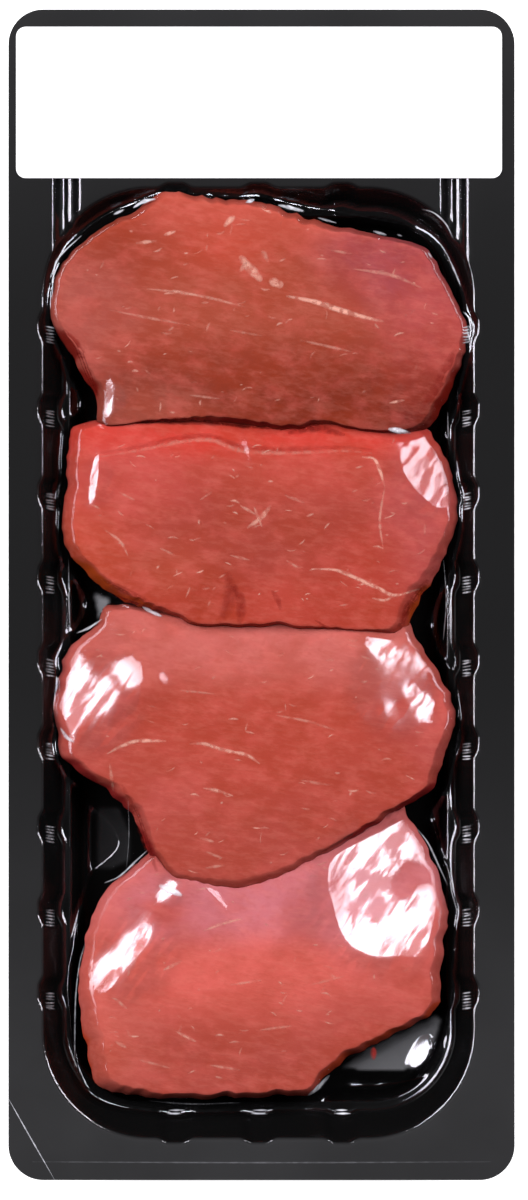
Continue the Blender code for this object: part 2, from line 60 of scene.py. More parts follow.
# Fineness of the tray's surface
LOBE_STEPS = 14
PLAIN_STEPS = 2
TOP_CORNER_STEPS = 90
LOW_CORNER_STEPS = 32
RIM_STEPS = 24
FILLET_STEPS = 5
WALL_STEPS = 3
# How far each fold of the wall is rounded off, from the mouth down
FILLETS = (0.5 * MM, 0.5 * MM, 0.4 * MM, 1.6 * MM)
FLANGE_START = 1.6 * MM
FLOOR_START = 4.0 * MM

# Channels under the label end of the film; the mesh has close rows and columns over them
CHANNEL_MIDDLES = (-46.85 * MM, 46.3 * MM)
CHANNEL_DEPTH = 2.2 * MM
CHANNEL_HALF = 3.75 * MM
CHANNEL_FLAT = 1.0 * MM
CHANNEL_START = 55.0 * MM
CHANNEL_END = 128.0 * MM
CHANNEL_BLEND = 0.35 * MM
CHANNEL_ROWS = (80 * MM, 130.5 * MM, 1.5 * MM)
CHANNEL_COLUMNS = 23

# Meat
GAP = 0.3 * MM
MEAT_POINTS = 240
MEAT_RINGS = 40
SHOULDER_STEPS = 12
BELLY_HEIGHT = 15.0 * MM
LEAST_CROWN = 1.0 * MM
UNDERSIDE = ((8.0 * MM, 0.0), (3.4 * MM, 1.0 * MM), (1.5 * MM, 4.5 * MM))
LEDGE_INSET = 0.9 * MM
TUCK_REACH = 12.0 * MM
TUCK_CALM = 8.0 * MM
FACET_SOFTNESS = 2.5 * MM
# How square the turn from flank to crown is: 2 is round, and less is a flatter chamfer
FLANK_POWER = 1.4
SEAM_GAP = 0.12 * MM
# Unevenness of the edge and the top: how long and how high the waves are
EDGE_WAVES = (4.0 * MM, 1.3 * MM)
BROAD_WAVES = (17 * MM, 0.4 * MM)
SMALL_WAVES = (5 * MM, 0.08 * MM)
# The light is a little stronger than white, so the meat's screen colours are brought down
MEAT_SHADE = (0.675, 0.615, 0.58)
# Mottling: texture scale, stretch, turn, detail and roughness, the range shown, how much and colour
MEAT_LAYERS = (
    (70, (1.0, 1.2, 1.0), 0.15, 6, 0.6, 0.3, 0.7, 0.36, (140, 50, 28)),
    (170, (0.9, 1.3, 1.0), -0.2, 6, 0.6, 0.38, 0.75, 0.2, (206, 98, 90)),
    (420, (0.55, 1.5, 1.0), -0.15, 5, 0.65, 0.36, 0.72, 0.08, (222, 136, 120)),
    (800, (0.8, 1.1, 1.0), -0.2, 4, 0.5, 0.45, 0.75, 0.14, (146, 54, 40)),
)
FIBRE_SCALE = 420

# Film
FILM_STEP = 0.5 * MM
FILM_SPAN_X = (-54.5 * MM, 53.01 * MM)
FILM_SPAN_Y = (-133.0 * MM, 132.01 * MM)
FILM_LIFT = 0.12 * MM
FILM_MARGIN = 0.4 * MM
FILM_PULL = 1.2 / MM
FILM_ROUNDS = 700
BUBBLE_ROUNDS = 60
EDGE_REACH = 3.0 * MM
# How much light the film throws back: where it's steep, where it lies flat on the tray, on the
# meat's edges, on the tray's folds, on the meat and where it's drawn tightest
FILM_FAINT = 0.004
FILM_FLAT = 0.015
FILM_RIM = 0.02
FILM_DULL = 0.085
FILM_SOFT = 0.04
FILM_BRIGHT = 0.125
FILM_CLEAR = (0.97, 0.97, 0.975, 1.0)
FILM_MILK = (0.8, 0.8, 0.84, 1.0)
FILM_GLOSS = (0.95, 0.92, 1.0, 1.0)
FOLDS_TURN = -0.6

# Plastic, in linear light: the flange's middle, its ends lighter by painted sheen, its cloud, the cavity
# darker by painted shade, and the flange's mattness
FLANGE_MIDDLE = (0.0072, 0.0072, 0.0072)
FLANGE_END_SHEEN = (0.0255, 0.0255, 0.026)
FLANGE_CLOUD = (0.008, 0.008, 0.008)
CAVITY_SHADE = (0.003, 0.003, 0.003)
FLANGE_MATT = 0.4

# Label: left, right, bottom and top, and the heights of its two sides above the flange
LABEL_SIDES = (-58.9 * MM, 57.7 * MM, 100.0 * MM, 136.3 * MM)
LABEL_CORNER = 2.3 * MM
LABEL_STEPS = 8
LABEL_LIFTS = (0.2 * MM, 0.4 * MM)

# The floor lies just under the tray, so that the two don't share a plane
FLOOR_GAP = 0.2 * MM

# Lights: azimuth, tilt, distance, width, height and power
SOFT_BOXES = (
    ("soft_box_left", 158, 42, 1.5, 1.1, 0.9, 33),
    ("soft_box_right", 30, 42, 1.5, 0.8, 0.9, 24),
)
LAMP_COLOUR = (0.975, 0.965, 1.0)
WORLD_LIGHT = 0.04

# Camera: straight above, far off, framing the pack as the photo does
PHOTO_WIDTH = 528
PHOTO_HEIGHT = 1200
PHOTO_SCALE = 0.24 * MM
PACK_MIDDLE_PX = (261.5, 594.75)
CAMERA_HEIGHT = 3.0
SENSOR_WIDTH = 36.0

# An outline is x, y and the flank's width at each of its corners, in mm. A facet is x, y, the way
# it faces, its steepness and its width. A slope is x, y, the way it faces, its steepness and its
# reach along and across that way. A tone is x, y, its reach in x and y and a screen colour; most
# are the meat's own colour, and the few marked below are painted light or shade. The flank's
# colour is partly the cut side's own darker red and partly painted shade.
MEDALLIONS = (
    Medallion(
        outline=((-23.2, 96.9, 2), (-12.6, 95.9, 1.6), (1.1, 94.3, 1.6), (12.4, 90.7, 1.8),
            (28.6, 86.6, 1.6), (39.5, 83.7, 1.6), (46.3, 72, 1.6), (49.7, 62.3, 1.6), (46.3, 50.2, 2.2),
            (41.4, 41.3, 2.5), (35.4, 38.6, 1.6), (24.8, 38.8, 1.4), (14.8, 40.7, 1.4), (6.8, 39.1, 1.4),
            (-10.2, 41.3, 1.4), (-28, 40.9, 1.4), (-38.8, 39.9, 1.8), (-40.5, 47, 2.6),
            (-45.4, 56.7, 2.8), (-50.6, 66.4, 2), (-49.3, 77.9, 1.6), (-43.4, 84.6, 1.6),
            (-36.1, 89.8, 1.6), (-29.2, 93.8, 2)),
        crown=22.6, tilt=0.4, tuck=0,
        facets=((-36.5, 50, 190, 0.12, 7), (-2, 90, 80, 0.12, 20)),
        slopes=((-36.2, 47.5, 178, 0.42, 1.6, 4), (-28.2, 93.6, 135, 0.42, 1.2, 2.6),
            (-34.6, 91.4, 140, 0.4, 0.8, 1.8), (-2.8, 94, 60, 0.4, 0.9, 1.5),
            (7.1, 92.2, 52, 0.42, 0.9, 3.4), (16.2, 88.9, 52, 0.4, 0.8, 2.6),
            (27.6, 85.6, 52, 0.4, 0.7, 1.6), (34, 39.8, -20, 0.4, 1.2, 1.2)),
        tones=((0, 68, 24, 14, 174, 83, 64), (0, 47, 34, 11, 118, 44, 28), (-42, 68, 9, 14, 176, 91, 82),
            # Of these, the lavender tone at (30, 80) is painted sheen of the film, and the dark one at
            # (40, 47) is painted shade on a facet at the right
            (0, 92, 26, 6, 206, 96, 82), (42, 66, 10, 14, 186, 84, 84), (30, 80, 12, 8, 164, 78, 92),
            (-36, 84, 10, 6, 156, 64, 44), (-24, 45, 12, 5, 176, 92, 78), (40, 47, 6, 9, 92, 28, 30),
            (4, 55, 18, 6, 142, 55, 36), (-8, 84, 8, 6, 200, 80, 62)),
        flank=(110, 22, 15)),
    Medallion(
        outline=((-43.6, 41.5, 2.5), (-46.6, 36.2, 3), (-47.4, 24.2, 3), (-48.2, 13.1, 3),
            (-44.8, 7.9, 3), (-38.5, 1.5, 3.2), (-32.8, -2, 2.8), (-24.4, -4.6, 1.6), (-14.8, -7.9, 1),
            (-1.3, -8.1, 1), (13.2, -8.6, 1), (24.8, -9.2, 1.2), (34.4, -9.4, 3.4), (38.3, -1.7, 4),
            (42.8, 5.9, 3), (46.7, 16, 2.5), (47.3, 21.5, 2.5), (45.2, 31.9, 2.5), (41.9, 37.1, 2.5),
            (38, 40.7, 2), (18.8, 42.4, 2), (-5.2, 42.4, 2), (-26.8, 42.4, 2)),
        crown=22, tilt=-0.8, tuck=4,
        facets=((31, 28, 25, 0.15, 11), (-36, 28, 178, 0.15, 12)),
        slopes=((-39.7, 27.2, 172, 0.42, 1.3, 4.6),),
        tones=((0, 15, 26, 12, 170, 73, 62), (0, 37.2, 44, 3.4, 218, 68, 58),
            (-30, 28, 12, 8, 204, 88, 82), (38, 20, 8, 14, 188, 88, 88), (0, -3, 28, 6, 180, 66, 50),
            (24, 8, 10, 8, 186, 70, 56), (-40, 10, 7, 8, 192, 80, 60), (10, 30, 16, 6, 200, 84, 74),
            (-12, -1, 5, 7, 158, 54, 32), (6, -3, 5, 6, 208, 88, 78), (-20, 6, 8, 6, 186, 84, 66)),
        flank=(150, 58, 18)),
    Medallion(
        outline=((-36.1, -2, 2), (-40, -7.3, 2.2), (-46.9, -13.3, 2.5), (-49.4, -21.4, 2.5),
            (-50.2, -29.5, 3), (-48.4, -38.9, 3.2), (-43.4, -43.3, 3.2), (-36.4, -48.3, 3.2),
            (-30.4, -54.6, 3.2), (-27.7, -61.3, 2.6), (-22.3, -69.1, 3), (-11, -72.3, 4), (-3, -72, 4),
            (9.2, -67, 3), (21.2, -59.8, 2), (33.2, -51.9, 1.6), (41.5, -46.5, 2.2), (44, -38.9, 2.6),
            (47, -28.1, 2.2), (42.8, -18.8, 2), (37.4, -10.1, 2), (33.2, -4.5, 2), (9.2, -5, 2),
            (-14.8, -4.5, 2)),
        crown=21.6, tilt=0, tuck=4,
        facets=((-31, -26, 160, 0.16, 11), (27, -24, 30, 0.15, 11)),
        slopes=((-43.6, -24.6, 158, 0.4, 6.4, 6.4), (-36.6, -25.2, 155, 0.4, 3.4, 2.6),
            (-30.8, -19.8, 150, 0.4, 5, 3), (-46, -33.8, 175, 0.4, 2, 1.6),
            (26.6, -11.6, 45, 0.4, 3.4, 3.6), (31.8, -28.8, 30, 0.4, 4, 3),
            (38.6, -26.8, 30, 0.4, 3.6, 3), (35.6, -24.4, 30, 0.4, 2, 1.6)),
        # The pale tone at (0, -13) is painted light, where the top tilts towards the lamps
        tones=((0, -35, 26, 12, 188, 78, 64), (0, -13, 30, 7, 208, 113, 107),
            (-42, -28, 8, 10, 190, 90, 86), (40, -28, 8, 10, 190, 88, 84), (-5, -60, 20, 9, 180, 80, 70),
            (-26, -48, 10, 8, 192, 88, 80), (20, -48, 12, 8, 180, 76, 64)),
        flank=(120, 28, 28)),
    Medallion(
        outline=((-25, -58.5, 2), (-27.6, -62.2, 2), (-34, -67.5, 2.2), (-38.1, -71.9, 2.5),
            (-42.1, -80.5, 2.8), (-44.2, -91.3, 3.2), (-43.6, -102.1, 4.5), (-41.4, -113.9, 5),
            (-38, -119, 3.5), (-26.4, -121.2, 2), (-14.3, -121.5, 1.6), (5.9, -120.8, 1.6),
            (11.6, -120.5, 2), (18, -113.9, 2), (26.1, -109, 2), (41.5, -101, 2), (43.2, -97.7, 2.4),
            (43.6, -90, 2.6), (45.1, -76.7, 2.4), (42.8, -66.8, 2.2), (37.4, -56, 2), (31.5, -48.5, 2),
            (18.8, -54, 2), (4.4, -61.5, 2), (-11.2, -65, 2), (-19.6, -62.5, 2)),
        crown=21.2, tilt=0, tuck=3,
        facets=((17, -77, 35, 0.16, 16), (-28, -88, 155, 0.15, 12)),
        slopes=((-37, -91.4, 150, 0.4, 4.6, 3.6), (-30.6, -84.6, 150, 0.4, 3.6, 4),
            (-27, -82.2, 150, 0.4, 1.8, 2), (-21.8, -71.4, 130, 0.4, 2.4, 2.8)),
        # The lavender tones at (-4, -76) and (30, -74) are painted sheen of the film over the meat
        tones=((0, -92, 24, 10, 230, 110, 101), (-4, -76, 24, 6, 214, 128, 140),
            (-38, -86, 7, 12, 214, 108, 102), (38, -88, 9, 12, 200, 94, 86),
            (0, -112, 30, 9, 178, 80, 70), (30, -74, 12, 10, 214, 130, 140),
            (-36, -108, 8, 8, 200, 98, 86), (20, -102, 14, 6, 186, 84, 74),
            (-24, -76.5, 5, 2.5, 206, 84, 70)),
        flank=(165, 58, 32)),
)
# Where the film stands off on a bubble: x, y, z, the way it faces, its slope, its reach along and
# across that way in mm
BUBBLES = ((37.8, -110.2, 14.5, 150, 0.42, 2.4, 3.7),)
# Where air under the film makes it milky: how milky, the film's height where it's drawn taut, and
# x and y of each corner in mm
HAZES = (
    (0.5, 13.5, 18.8, -114.3, 26, -108.5, 42.1, -101.1, 43.3, -102.5, 41.6, -108.1, 36.8, -114.1, 32,
     -115),
    (0.2, 0, -39.5, -51.4, -34.2, -51.4, -31.5, -58, -31.5, -64, -36, -66.1, -39.5, -66.1),
    (0.9, 9, -40.4, 0.5, -36.8, -1, -36.6, -4.5, -39, -5.6),
)
# Where the film gleams more or less than elsewhere: x, y, its reach in x and y and its gleam
GLEAMS = (
    (38.5, 30, 10, 10, 0.062), (-40.5, 27.5, 4, 9, 0.09), (17.5, -71, 4, 9, 0.05),
    (37.5, -68, 5, 3.6, 0.025), (43.5, -84, 3, 16, 0.01), (-40, -106, 7, 13, 0.01),
    (-46.5, 24, 4, 16, 0.012), (46, -20, 4, 16, 0.02), (-37, -73, 4.5, 9, 0.012),
)
# Where the drawn film leans and mirrors a lamp: the way it faces, its slope, and x and y of each
# corner in mm
LEANS = (
    (30, 0.42, 24.8, -58.9, 30.1, -56.2, 33.7, -56.7, 35.9, -62.5, 33.2, -64.1, 30.1, -67.7, 30.6, -72.1,
     34.4, -74.5, 36.8, -72.5, 40.4, -68.9, 41.4, -75.7, 40, -82.9, 37.3, -86.9, 26, -86.7, 21.2, -84.1,
     18.8, -80.5, 17.4, -74.5, 16, -69.7, 16.4, -64.1, 20, -61.3),
    (30, 0.42, 34.4, 34.7, 41.6, 35.5, 45.2, 28, 45.5, 21.5, 41.6, 21.5, 38, 25.1, 34.9, 28.7),
)
# Where fine folds break up the film's gleam: x, y and reach in mm
CRINKLES = (
    (40, 29, 10), (-41, 27, 6), (-40, -26, 12), (32, -22, 12), (29, -72, 20), (-32, -86, 12),
    (-36, 47, 4), (-22, -71, 4),
)
# Where the flanks take their darker colour and painted shade in full: x, y and reach in mm
SHADED_FLANKS = (
    (-46, 60, 6), (-42, 50, 6), (44, 48, 9), (-30, 40, 12), (0, 40, 14), (26, 39, 10), (-40, 3, 9),
    (-31, -3, 6), (38, -3, 8), (-44, -43, 7), (-36, -50, 7), (-28, -61, 7), (38, -48, 9), (24, -57, 7),
    (-42, -108, 12), (18, -113, 7), (30, -106, 8), (42, -100, 5),
)
# How much of the flanks' darker colour and painted shade they take away from those spots
PLAIN_FLANK_SHADE = 0.3

# Strips, laid one by one: width, strength, and x and y of each point that the strip passes through
MARBLING = (
    (1.44, 0.8, -5.2, 81.3, -2.8, 78.4, 0.1, 75.3), (0.96, 0.8, -9, 88.3, -7.8, 89.7, -6.4, 90.9),
    (0.58, 0.7, -23.4, 86.3, -20.5, 87.3), (0.58, 0.7, -30.1, 84.4, -25.1, 84.9),
    (0.58, 0.7, -23.4, 72.2, -20.8, 72.7, -17.6, 72.4),
    (0.48, 0.5, -27.5, 73.4, -20.8, 72.7, -13.6, 71.5, -4, 69.1), (1.32, 0.9, 1.8, 75.5, 5.2, 74.1),
    (0.86, 1, 5.9, 71.7, 12.8, 70.3, 17.9, 68.6, 23.6, 66.9, 29.4, 65.5),
    (0.58, 0.4, 22, 78.2, 31.1, 76.7, 38.5, 73.6), (0.48, 0.6, 30.6, 46, 34.4, 46.7),
    (0.72, 0.8, -0.4, 93.5, 2.3, 91.6), (0.84, 0.4, 0.1, 82.7, 1.6, 79.9),
    (0.84, 0.4, -3.5, 79.9, -5.2, 77.5), (0.43, 0.35, 9.2, 61.1, 16.4, 59.5, 21.7, 58.3),
    (0.38, 0.35, -17.2, 47.9, -10, 47), (0.43, 0.35, -36.4, 68.3, -26.8, 66.4, -17.2, 64.7),
    (0.38, 0.35, -7.6, 63.5, 0.1, 62.1), (0.48, 0.35, 16.4, 82.7, 21.7, 81.8),
    (0.7, 0.3, -38.8, 33.1, -29.2, 34.7, -19.6, 36.7, -11.9, 37.1, -5.2, 34.7, 4.4, 34, 18.8, 34.5, 26.5,
     34),
    (0.77, 0.7, -3.5, 16, -0.8, 17.9, 1.1, 19.9, 2.3, 21.5), (0.53, 0.6, -1.8, 21.1, 0.1, 16.3),
    (0.48, 0.5, -5.2, 21.5, -0.8, 18.9), (0.58, 0.8, 24.1, 33.1, 27, 32.6, 28.4, 29.9, 29.6, 25.9),
    (0.43, 0.45, 29.6, 25.9, 28.4, 17.9, 29.2, 11.2),
    (0.62, 0.85, 11.9, 6.2, 17.9, 5.9, 22.7, 4, 28, 1.6, 32, -0.1, 38, 1.4),
    (0.48, 0.6, 32, -0.1, 29.6, -1.3, 26.5, -0.8), (0.48, 0.5, -37.6, 15.5, -34, 12.9, -32, 9.3),
    (0.43, 0.4, -7.6, 9.5, -2.8, 8.3), (0.43, 0.4, 5.9, 8.3, 9.2, 6.2),
    (0.43, 0.35, -14.8, 22.7, -11.9, 24.7), (0.43, 0.35, -24.4, 11.2, -20.5, 9.3),
    (0.43, 0.35, -34.4, 24.7, -30.4, 22.7), (0.43, 0.35, 5.6, 23.9, 10.4, 22),
    (0.62, 0.8, -37.1, -38.2, -33.5, -36.3, -29.6, -35.1, -22.9, -35.1),
    (0.62, 0.8, -17.4, -35.8, -13.6, -35.8, -9, -37.3, -3.5, -38.5, -0.4, -40.6),
    (0.53, 0.5, -36.4, -40.4, -35.6, -47.3), (0.53, 0.7, -14, -46.4, -10.4, -47.1, -6.8, -48.3),
    (0.48, 0.5, -14.8, -58.4, -11.4, -59.3), (0.48, 0.45, -13.3, -61.7, -9.5, -63.2),
    (0.48, 0.4, -13.6, -65.6, -8.8, -64.9), (0.43, 0.35, 3.5, -28.9, 11.6, -30.5, 17.6, -32.5),
    (0.43, 0.35, -19.6, -22.9, -11.2, -23.8), (0.43, 0.3, 9.2, -44.5, 16.4, -45.7),
    (0.48, 0.6, -14, -80.7, -9.5, -79, -4.7, -77.8), (0.58, 0.7, -23.6, -90.1, -19.1, -87.9),
    (0.48, 0.6, -20.8, -104.7, -15.7, -107.3), (0.48, 0.6, -35.4, -96.8, -32.3, -99.4),
    (0.48, 0.6, -35.2, -107.1, -32.3, -108.8), (0.43, 0.4, -7.6, -93.7, 0.1, -92.5),
    (0.43, 0.35, -0.4, -104.5, 7.3, -103.5), (0.43, 0.4, -12.4, -112.9, -5.2, -114.1),
    (0.43, 0.3, 11.6, -93.7, 20, -91.5), (0.43, 0.35, -29.2, -111.7, -22, -113.6),
)
# Dark strips in the fold colour: mostly painted shade in the meat's folds, under the edge of an
# overlapping piece and on the flanks, and, last, one real drop of juice
SHADED_FOLDS_AND_JUICE = (
    (4, 0.34, -8.5, 5.5, -7.4, 1.5, -8.2, -2.5, -9.8, -6.8), (2.8, 0.4, -7, 2.5, -5, -1.5, -5.2, -7),
    (1.6, 0.34, 2.5, 1.1, 4, -1.4, 4.6, -3.6),
    (1.8, 0.26, -38.8, 34, -29.2, 35.6, -19.6, 37.6, -11.9, 38, -5.2, 35.6, 4.4, 34.9, 18.8, 35.4, 26.5,
     34.9),
    (1, 0.8, -35.2, -0.1, -29.2, -2.5, -22.9, -4.9), (0.8, 0.6, 12.8, -6.1, 16.4, -8, 20, -8.4),
    (0.7, 0.5, 14, -62, 20, -58.6, 25.6, -54.6),
    (2, 0.45, -33.5, -45.6, -29.9, -52.9, -27.5, -60, -25.1, -66.5),
    (2.6, 0.7, -47.6, 63.5, -44.4, 59.9, -42, 53.9, -39.4, 47.9), (3.4, 0.4, 38, 44, 43, 51, 46.6, 59),
    (2.4, 0.6, 6.4, 38.8, 13, 40, 20, 38.4), (1, 0.7, -30, 41.6, -18, 42.2, -6, 40.6, 4, 39.8),
    (2, 0.35, -38, 3.6, -30, -0.4, -26, -2.6), (2.6, 0.5, 33, -8, 36, -2, 40, 3.6),
    (1.7, 1, 26.9, -108.6, 26.9, -111.6),
)
# Near white strips on low ridges of the film: painted glints where its creases, folds and cut edge catch
# the lamps
CREASE_GLINTS = (
    (0.53, 0.7, 38.5, 92.6, 41.4, 91.6, 44.3, 89, 46, 85.6),
    (0.62, 0.6, 45, 80.8, 46.4, 77.9, 47.9, 74.1), (0.53, 0.9, 48.4, 67.9, 50, 66.4, 51, 63.8),
    (0.48, 0.8, 49.3, 63.5, 50.3, 60.2), (0.67, 0.95, -44.5, -9.2, -41.6, -8, -38.3, -5.8),
    (0.58, 0.8, -37.8, -69.4, -34.2, -67.7, -30.8, -64.6, -27.5, -61.5),
    (0.43, 0.55, -42.4, -83.8, -43.8, -88.9, -44.8, -98.5, -45, -113.8),
    (0.53, 0.7, 37.6, -56.5, 40, -59.6, 42.1, -63.9, 44.8, -69.9),
    (1.44, 1, 11.2, -120.3, 13.6, -118.4, 16.4, -115.5), (0.38, 0.5, -46.4, 8.3, -46.4, -1.3, -46, -8.9),
    (0.38, 0.6, 44.8, 43.9, 45, 37.1), (0.34, 0.25, -32, -49.3, -32, -57.7, -32.5, -65.6),
    (0.36, 0.75, -60.7, -121, -55.1, -130.9, -49.6, -140.5),
    (0.48, 0.5, -26.8, -121.7, -17.2, -122.5, -5.2, -122.2),
    (0.38, 0.5, 43.8, 8.3, 44.5, -1.3, 43.8, -10.9), (1.15, 1, -30.8, 93, -28.4, 94.4, -25.4, 95),
    (0.8, 0.8, -35.6, 91.4, -33, 92.6), (1.3, 1, -3.8, 94.2, -1.7, 94.9),
    (1.2, 1, 4, 93.6, 7, 93, 10.2, 92.2), (0.7, 0.8, 13.6, 90.6, 18, 89.4),
    (1, 0.9, 26.8, 87.4, 30, 86.4), (0.6, 0.7, 32.6, 86.6, 33.8, 86.2), (0.7, 0.8, 39.9, 82.3, 41, 80.6),
    (1.5, 1, 30.4, 39.8, 33, 39.3, 35.8, 38.8),
    (0.6, 0.7, -43.3, 86.3, -48.6, 81.1, -50, 76.5, -50.3, 70.7),
    (1.1, 0.9, -28.6, -2.9, -26.2, -4.2, -23.9, -5.2), (1.2, 0.6, -48.3, -32, -46.8, -34.2, -45, -35.4),
    (1.9, 1, -24.6, -69.8, -22, -70.8, -19.1, -72.2), (0.45, 0.1, -55, -136.1, 0, -136.3, 55, -136.1),
)
STRIP_STEP = 0.4 * MM
STRIP_LIFT = 0.03 * MM
CREASE_LIFT = 0.02 * MM
CREASE_RIDGE = 0.06 * MM
MARBLING_SPREAD = 1.9
STREAKS_EACH = 95
STREAKS_SPREAD = 0.9
FAT_COLOUR = (236, 168, 148)
# The fold strips' colour is painted shade, and the same dark red stands for the drop of juice
FOLD_SHADE_AND_JUICE_COLOUR = (142, 22, 12)
# The creases' near white is a painted glint
CREASE_GLINT_COLOUR = (236, 236, 244)
# Painted glints of fine film wrinkles on each lobe of the long walls: how many and how far apart, their
# first place past the lobe's middle, how far they run across the wall, width and strength
LOBE_WRINKLES = 6
LOBE_WRINKLE_STEP = 0.72
LOBE_WRINKLE_START = 0.4
LOBE_WRINKLE_SPAN = (49.0, 51.1)
END_WRINKLES = (-124.1, -124.9)
END_WRINKLE_SPAN = (-2.4, 2.4)
WRINKLE_WIDTH = 0.55
WRINKLE_STRENGTH = 0.85
WRINKLE_LEFT_SHARE = 0.55


def srgb(red, green, blue):
    """A colour given as 0 to 255 screen values, in linear light."""
    parts = [value / 255 for value in (red, green, blue)]
    return tuple(p / 12.92 if p <= 0.04045 else ((p + 0.055) / 1.055) ** 2.4 for p in parts)


def placed(name, data):
    """Adds an object to the scene."""
    item = bpy.data.objects.new(name, data)
    bpy.context.scene.collection.objects.link(item)
    return item


def new_object(name, mesh, material, slot=None, stands_for=()):
    """Adds a piece that rides on the pack and may stand for frame nodes."""
    item = placed(name, mesh)
    mesh.materials.append(material)
    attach(item, "root")
    if slot:
        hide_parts(*stands_for)
    return item


def made_mesh(name, bm, smooth=True):
    """The mesh of a scratch form, which is then freed."""
    mesh = bpy.data.meshes.new(name)
    bm.to_mesh(mesh)
    bm.free()
    if smooth:
        mesh.shade_smooth()
    return mesh


def plain_mesh(name, points, faces):
    mesh = bpy.data.meshes.new(name)
    mesh.from_pydata(points, [], faces)
    mesh.shade_smooth()
    return mesh


def read(mesh, key):
    """A vector of each of the mesh's points, as an (n, 3) array."""
    values = np.empty(len(mesh.vertices) * 3)
    mesh.vertices.foreach_get(key, values)
    return values.reshape(-1, 3)


def store(mesh, name, kind, key, values):
    """Stores a value on each of the mesh's points, for its material."""
    layer = mesh.attributes.new(name, kind, "POINT")
    layer.data.foreach_set(key, np.asarray(values, dtype=np.float32).ravel())


def join_rings(bm, rows):
    """Faces between closed rings of points, each and the next; gives the rings' vertices."""
    loops = [[bm.verts.new(point) for point in row] for row in rows]
    for lower, upper in zip(loops, loops[1:]):
        for i in range(len(lower)):
            j = (i + 1) % len(lower)
            bm.faces.new((lower[i], lower[j], upper[j], upper[i]))
    return loops


def grow(ring, distance):
    """A ring moved outwards all round."""
    return Ring(ring.left - distance, ring.right + distance, ring.bottom - distance,
                ring.top + distance, ring.radius + distance, ring.z)


def between(lower, upper, z):
    """The ring at a height on the slope from one ring to another."""
    share = (z - lower.z) / (upper.z - lower.z)
    return Ring(*(a + (b - a) * share for a, b in zip(lower, upper)))


def cavity_ring(z):
    """The cavity's inner outline at a height, lobes left out."""
    if z >= MOUTH.z:
        return MOUTH
    if z >= WALL_FOOT.z:
        return between(WALL_FOOT, MOUTH, z)
    if z >= LEDGE_LIP.z:
        return between(LEDGE_LIP, WALL_FOOT, z)
    return between(FLOOR_EDGE, LEDGE_LIP, max(z, FLOOR_EDGE.z))


def keep_inside(x, y, ring, clear=GAP):
    """Points moved to the nearest place that is clear of the ring's wall."""
    core_x = np.clip(x, ring.left + ring.radius, ring.right - ring.radius)
    core_y = np.clip(y, ring.bottom + ring.radius, ring.top - ring.radius)
    reach = np.hypot(x - core_x, y - core_y)
    limit = ring.radius - clear
    share = np.where(reach > limit, limit / np.maximum(reach, 1e-9), 1.0)
    return core_x + (x - core_x) * share, core_y + (y - core_y) * share


def lobe_centres(count, middle):
    return [middle + LOBE_PITCH * (i - (count - 1) / 2) for i in range(count)]


def lobe_stations(centres, low, high):
    """Places along a wall: close together on its lobes, wide apart between them."""
    places = [low, high]
    half = LOBE_LENGTH / 2
    plain = LOBE_PITCH - LOBE_LENGTH
    for centre in centres:
        places += [centre + LOBE_LENGTH * (i / LOBE_STEPS - 0.5) for i in range(LOBE_STEPS + 1)]
        places += [centre + half + plain * (i + 1) / (PLAIN_STEPS + 1) for i in range(PLAIN_STEPS)]
    return np.array(sorted(place for place in places if low <= place <= high))


def lobe_bulge(places, centres):
    """How far the wall stands out at places along it."""
    nearest = np.min(np.abs(places[:, None] - np.array(centres)[None, :]), axis=1)
    share = np.clip((LOBE_LENGTH / 2 - nearest) / (LOBE_LENGTH / 2 - LOBE_TOP / 2), 0.0, 1.0)
    return LOBE_DEPTH * share * share * (3 - 2 * share)


def corner(x, y, radius, angles):
    return np.stack([x + radius * np.cos(angles), y + radius * np.sin(angles)], axis=1)


SIDE_CENTRES = lobe_centres(SIDE_LOBES, SIDE_LOBES_MIDDLE)
END_CENTRES = lobe_centres(END_LOBES, END_LOBES_MIDDLE)
SIDE_PLACES = lobe_stations(SIDE_CENTRES, MOUTH.bottom + MOUTH.radius, MOUTH.top - MOUTH.radius)
END_PLACES = lobe_stations(END_CENTRES, MOUTH.left + MOUTH.radius, MOUTH.right - MOUTH.radius)


def fine_ring(ring, lobed):
    """Dense points round a ring, anticlockwise from its right side, as an (n, 3) array."""
    left, right = ring.left + ring.radius, ring.right - ring.radius
    low, high = ring.bottom + ring.radius, ring.top - ring.radius
    side_bulge = lobe_bulge(SIDE_PLACES, SIDE_CENTRES) * lobed
    end_bulge = lobe_bulge(END_PLACES, END_CENTRES) * lobed

    def turn(x, y, start, steps):
        return corner(x, y, ring.radius, start + np.pi / 2 * np.arange(1, steps) / steps)

    plan = np.concatenate([
        np.stack([ring.right + side_bulge, SIDE_PLACES], axis=1),
        turn(right, high, 0.0, TOP_CORNER_STEPS),
        np.stack([END_PLACES, ring.top + end_bulge], axis=1)[::-1],
        turn(left, high, np.pi / 2, TOP_CORNER_STEPS),
        np.stack([ring.left - side_bulge, SIDE_PLACES], axis=1)[::-1],
        turn(left, low, np.pi, LOW_CORNER_STEPS),
        np.stack([END_PLACES, ring.bottom - end_bulge], axis=1),
        turn(right, low, 1.5 * np.pi, LOW_CORNER_STEPS),
    ])
    return np.column_stack([plan, np.full(len(plan), ring.z)])


def rounded_outline(left, right, bottom, top, radius, steps):
    """A rectangle with round corners, anticlockwise from its right side, as an (n, 2) array."""
    middles = ((right - radius, top - radius), (left + radius, top - radius),
               (left + radius, bottom + radius), (right - radius, bottom + radius))
    return np.concatenate([
        corner(x, y, radius, np.pi / 2 * (turn + np.arange(steps + 1) / steps))
        for turn, (x, y) in enumerate(middles)])


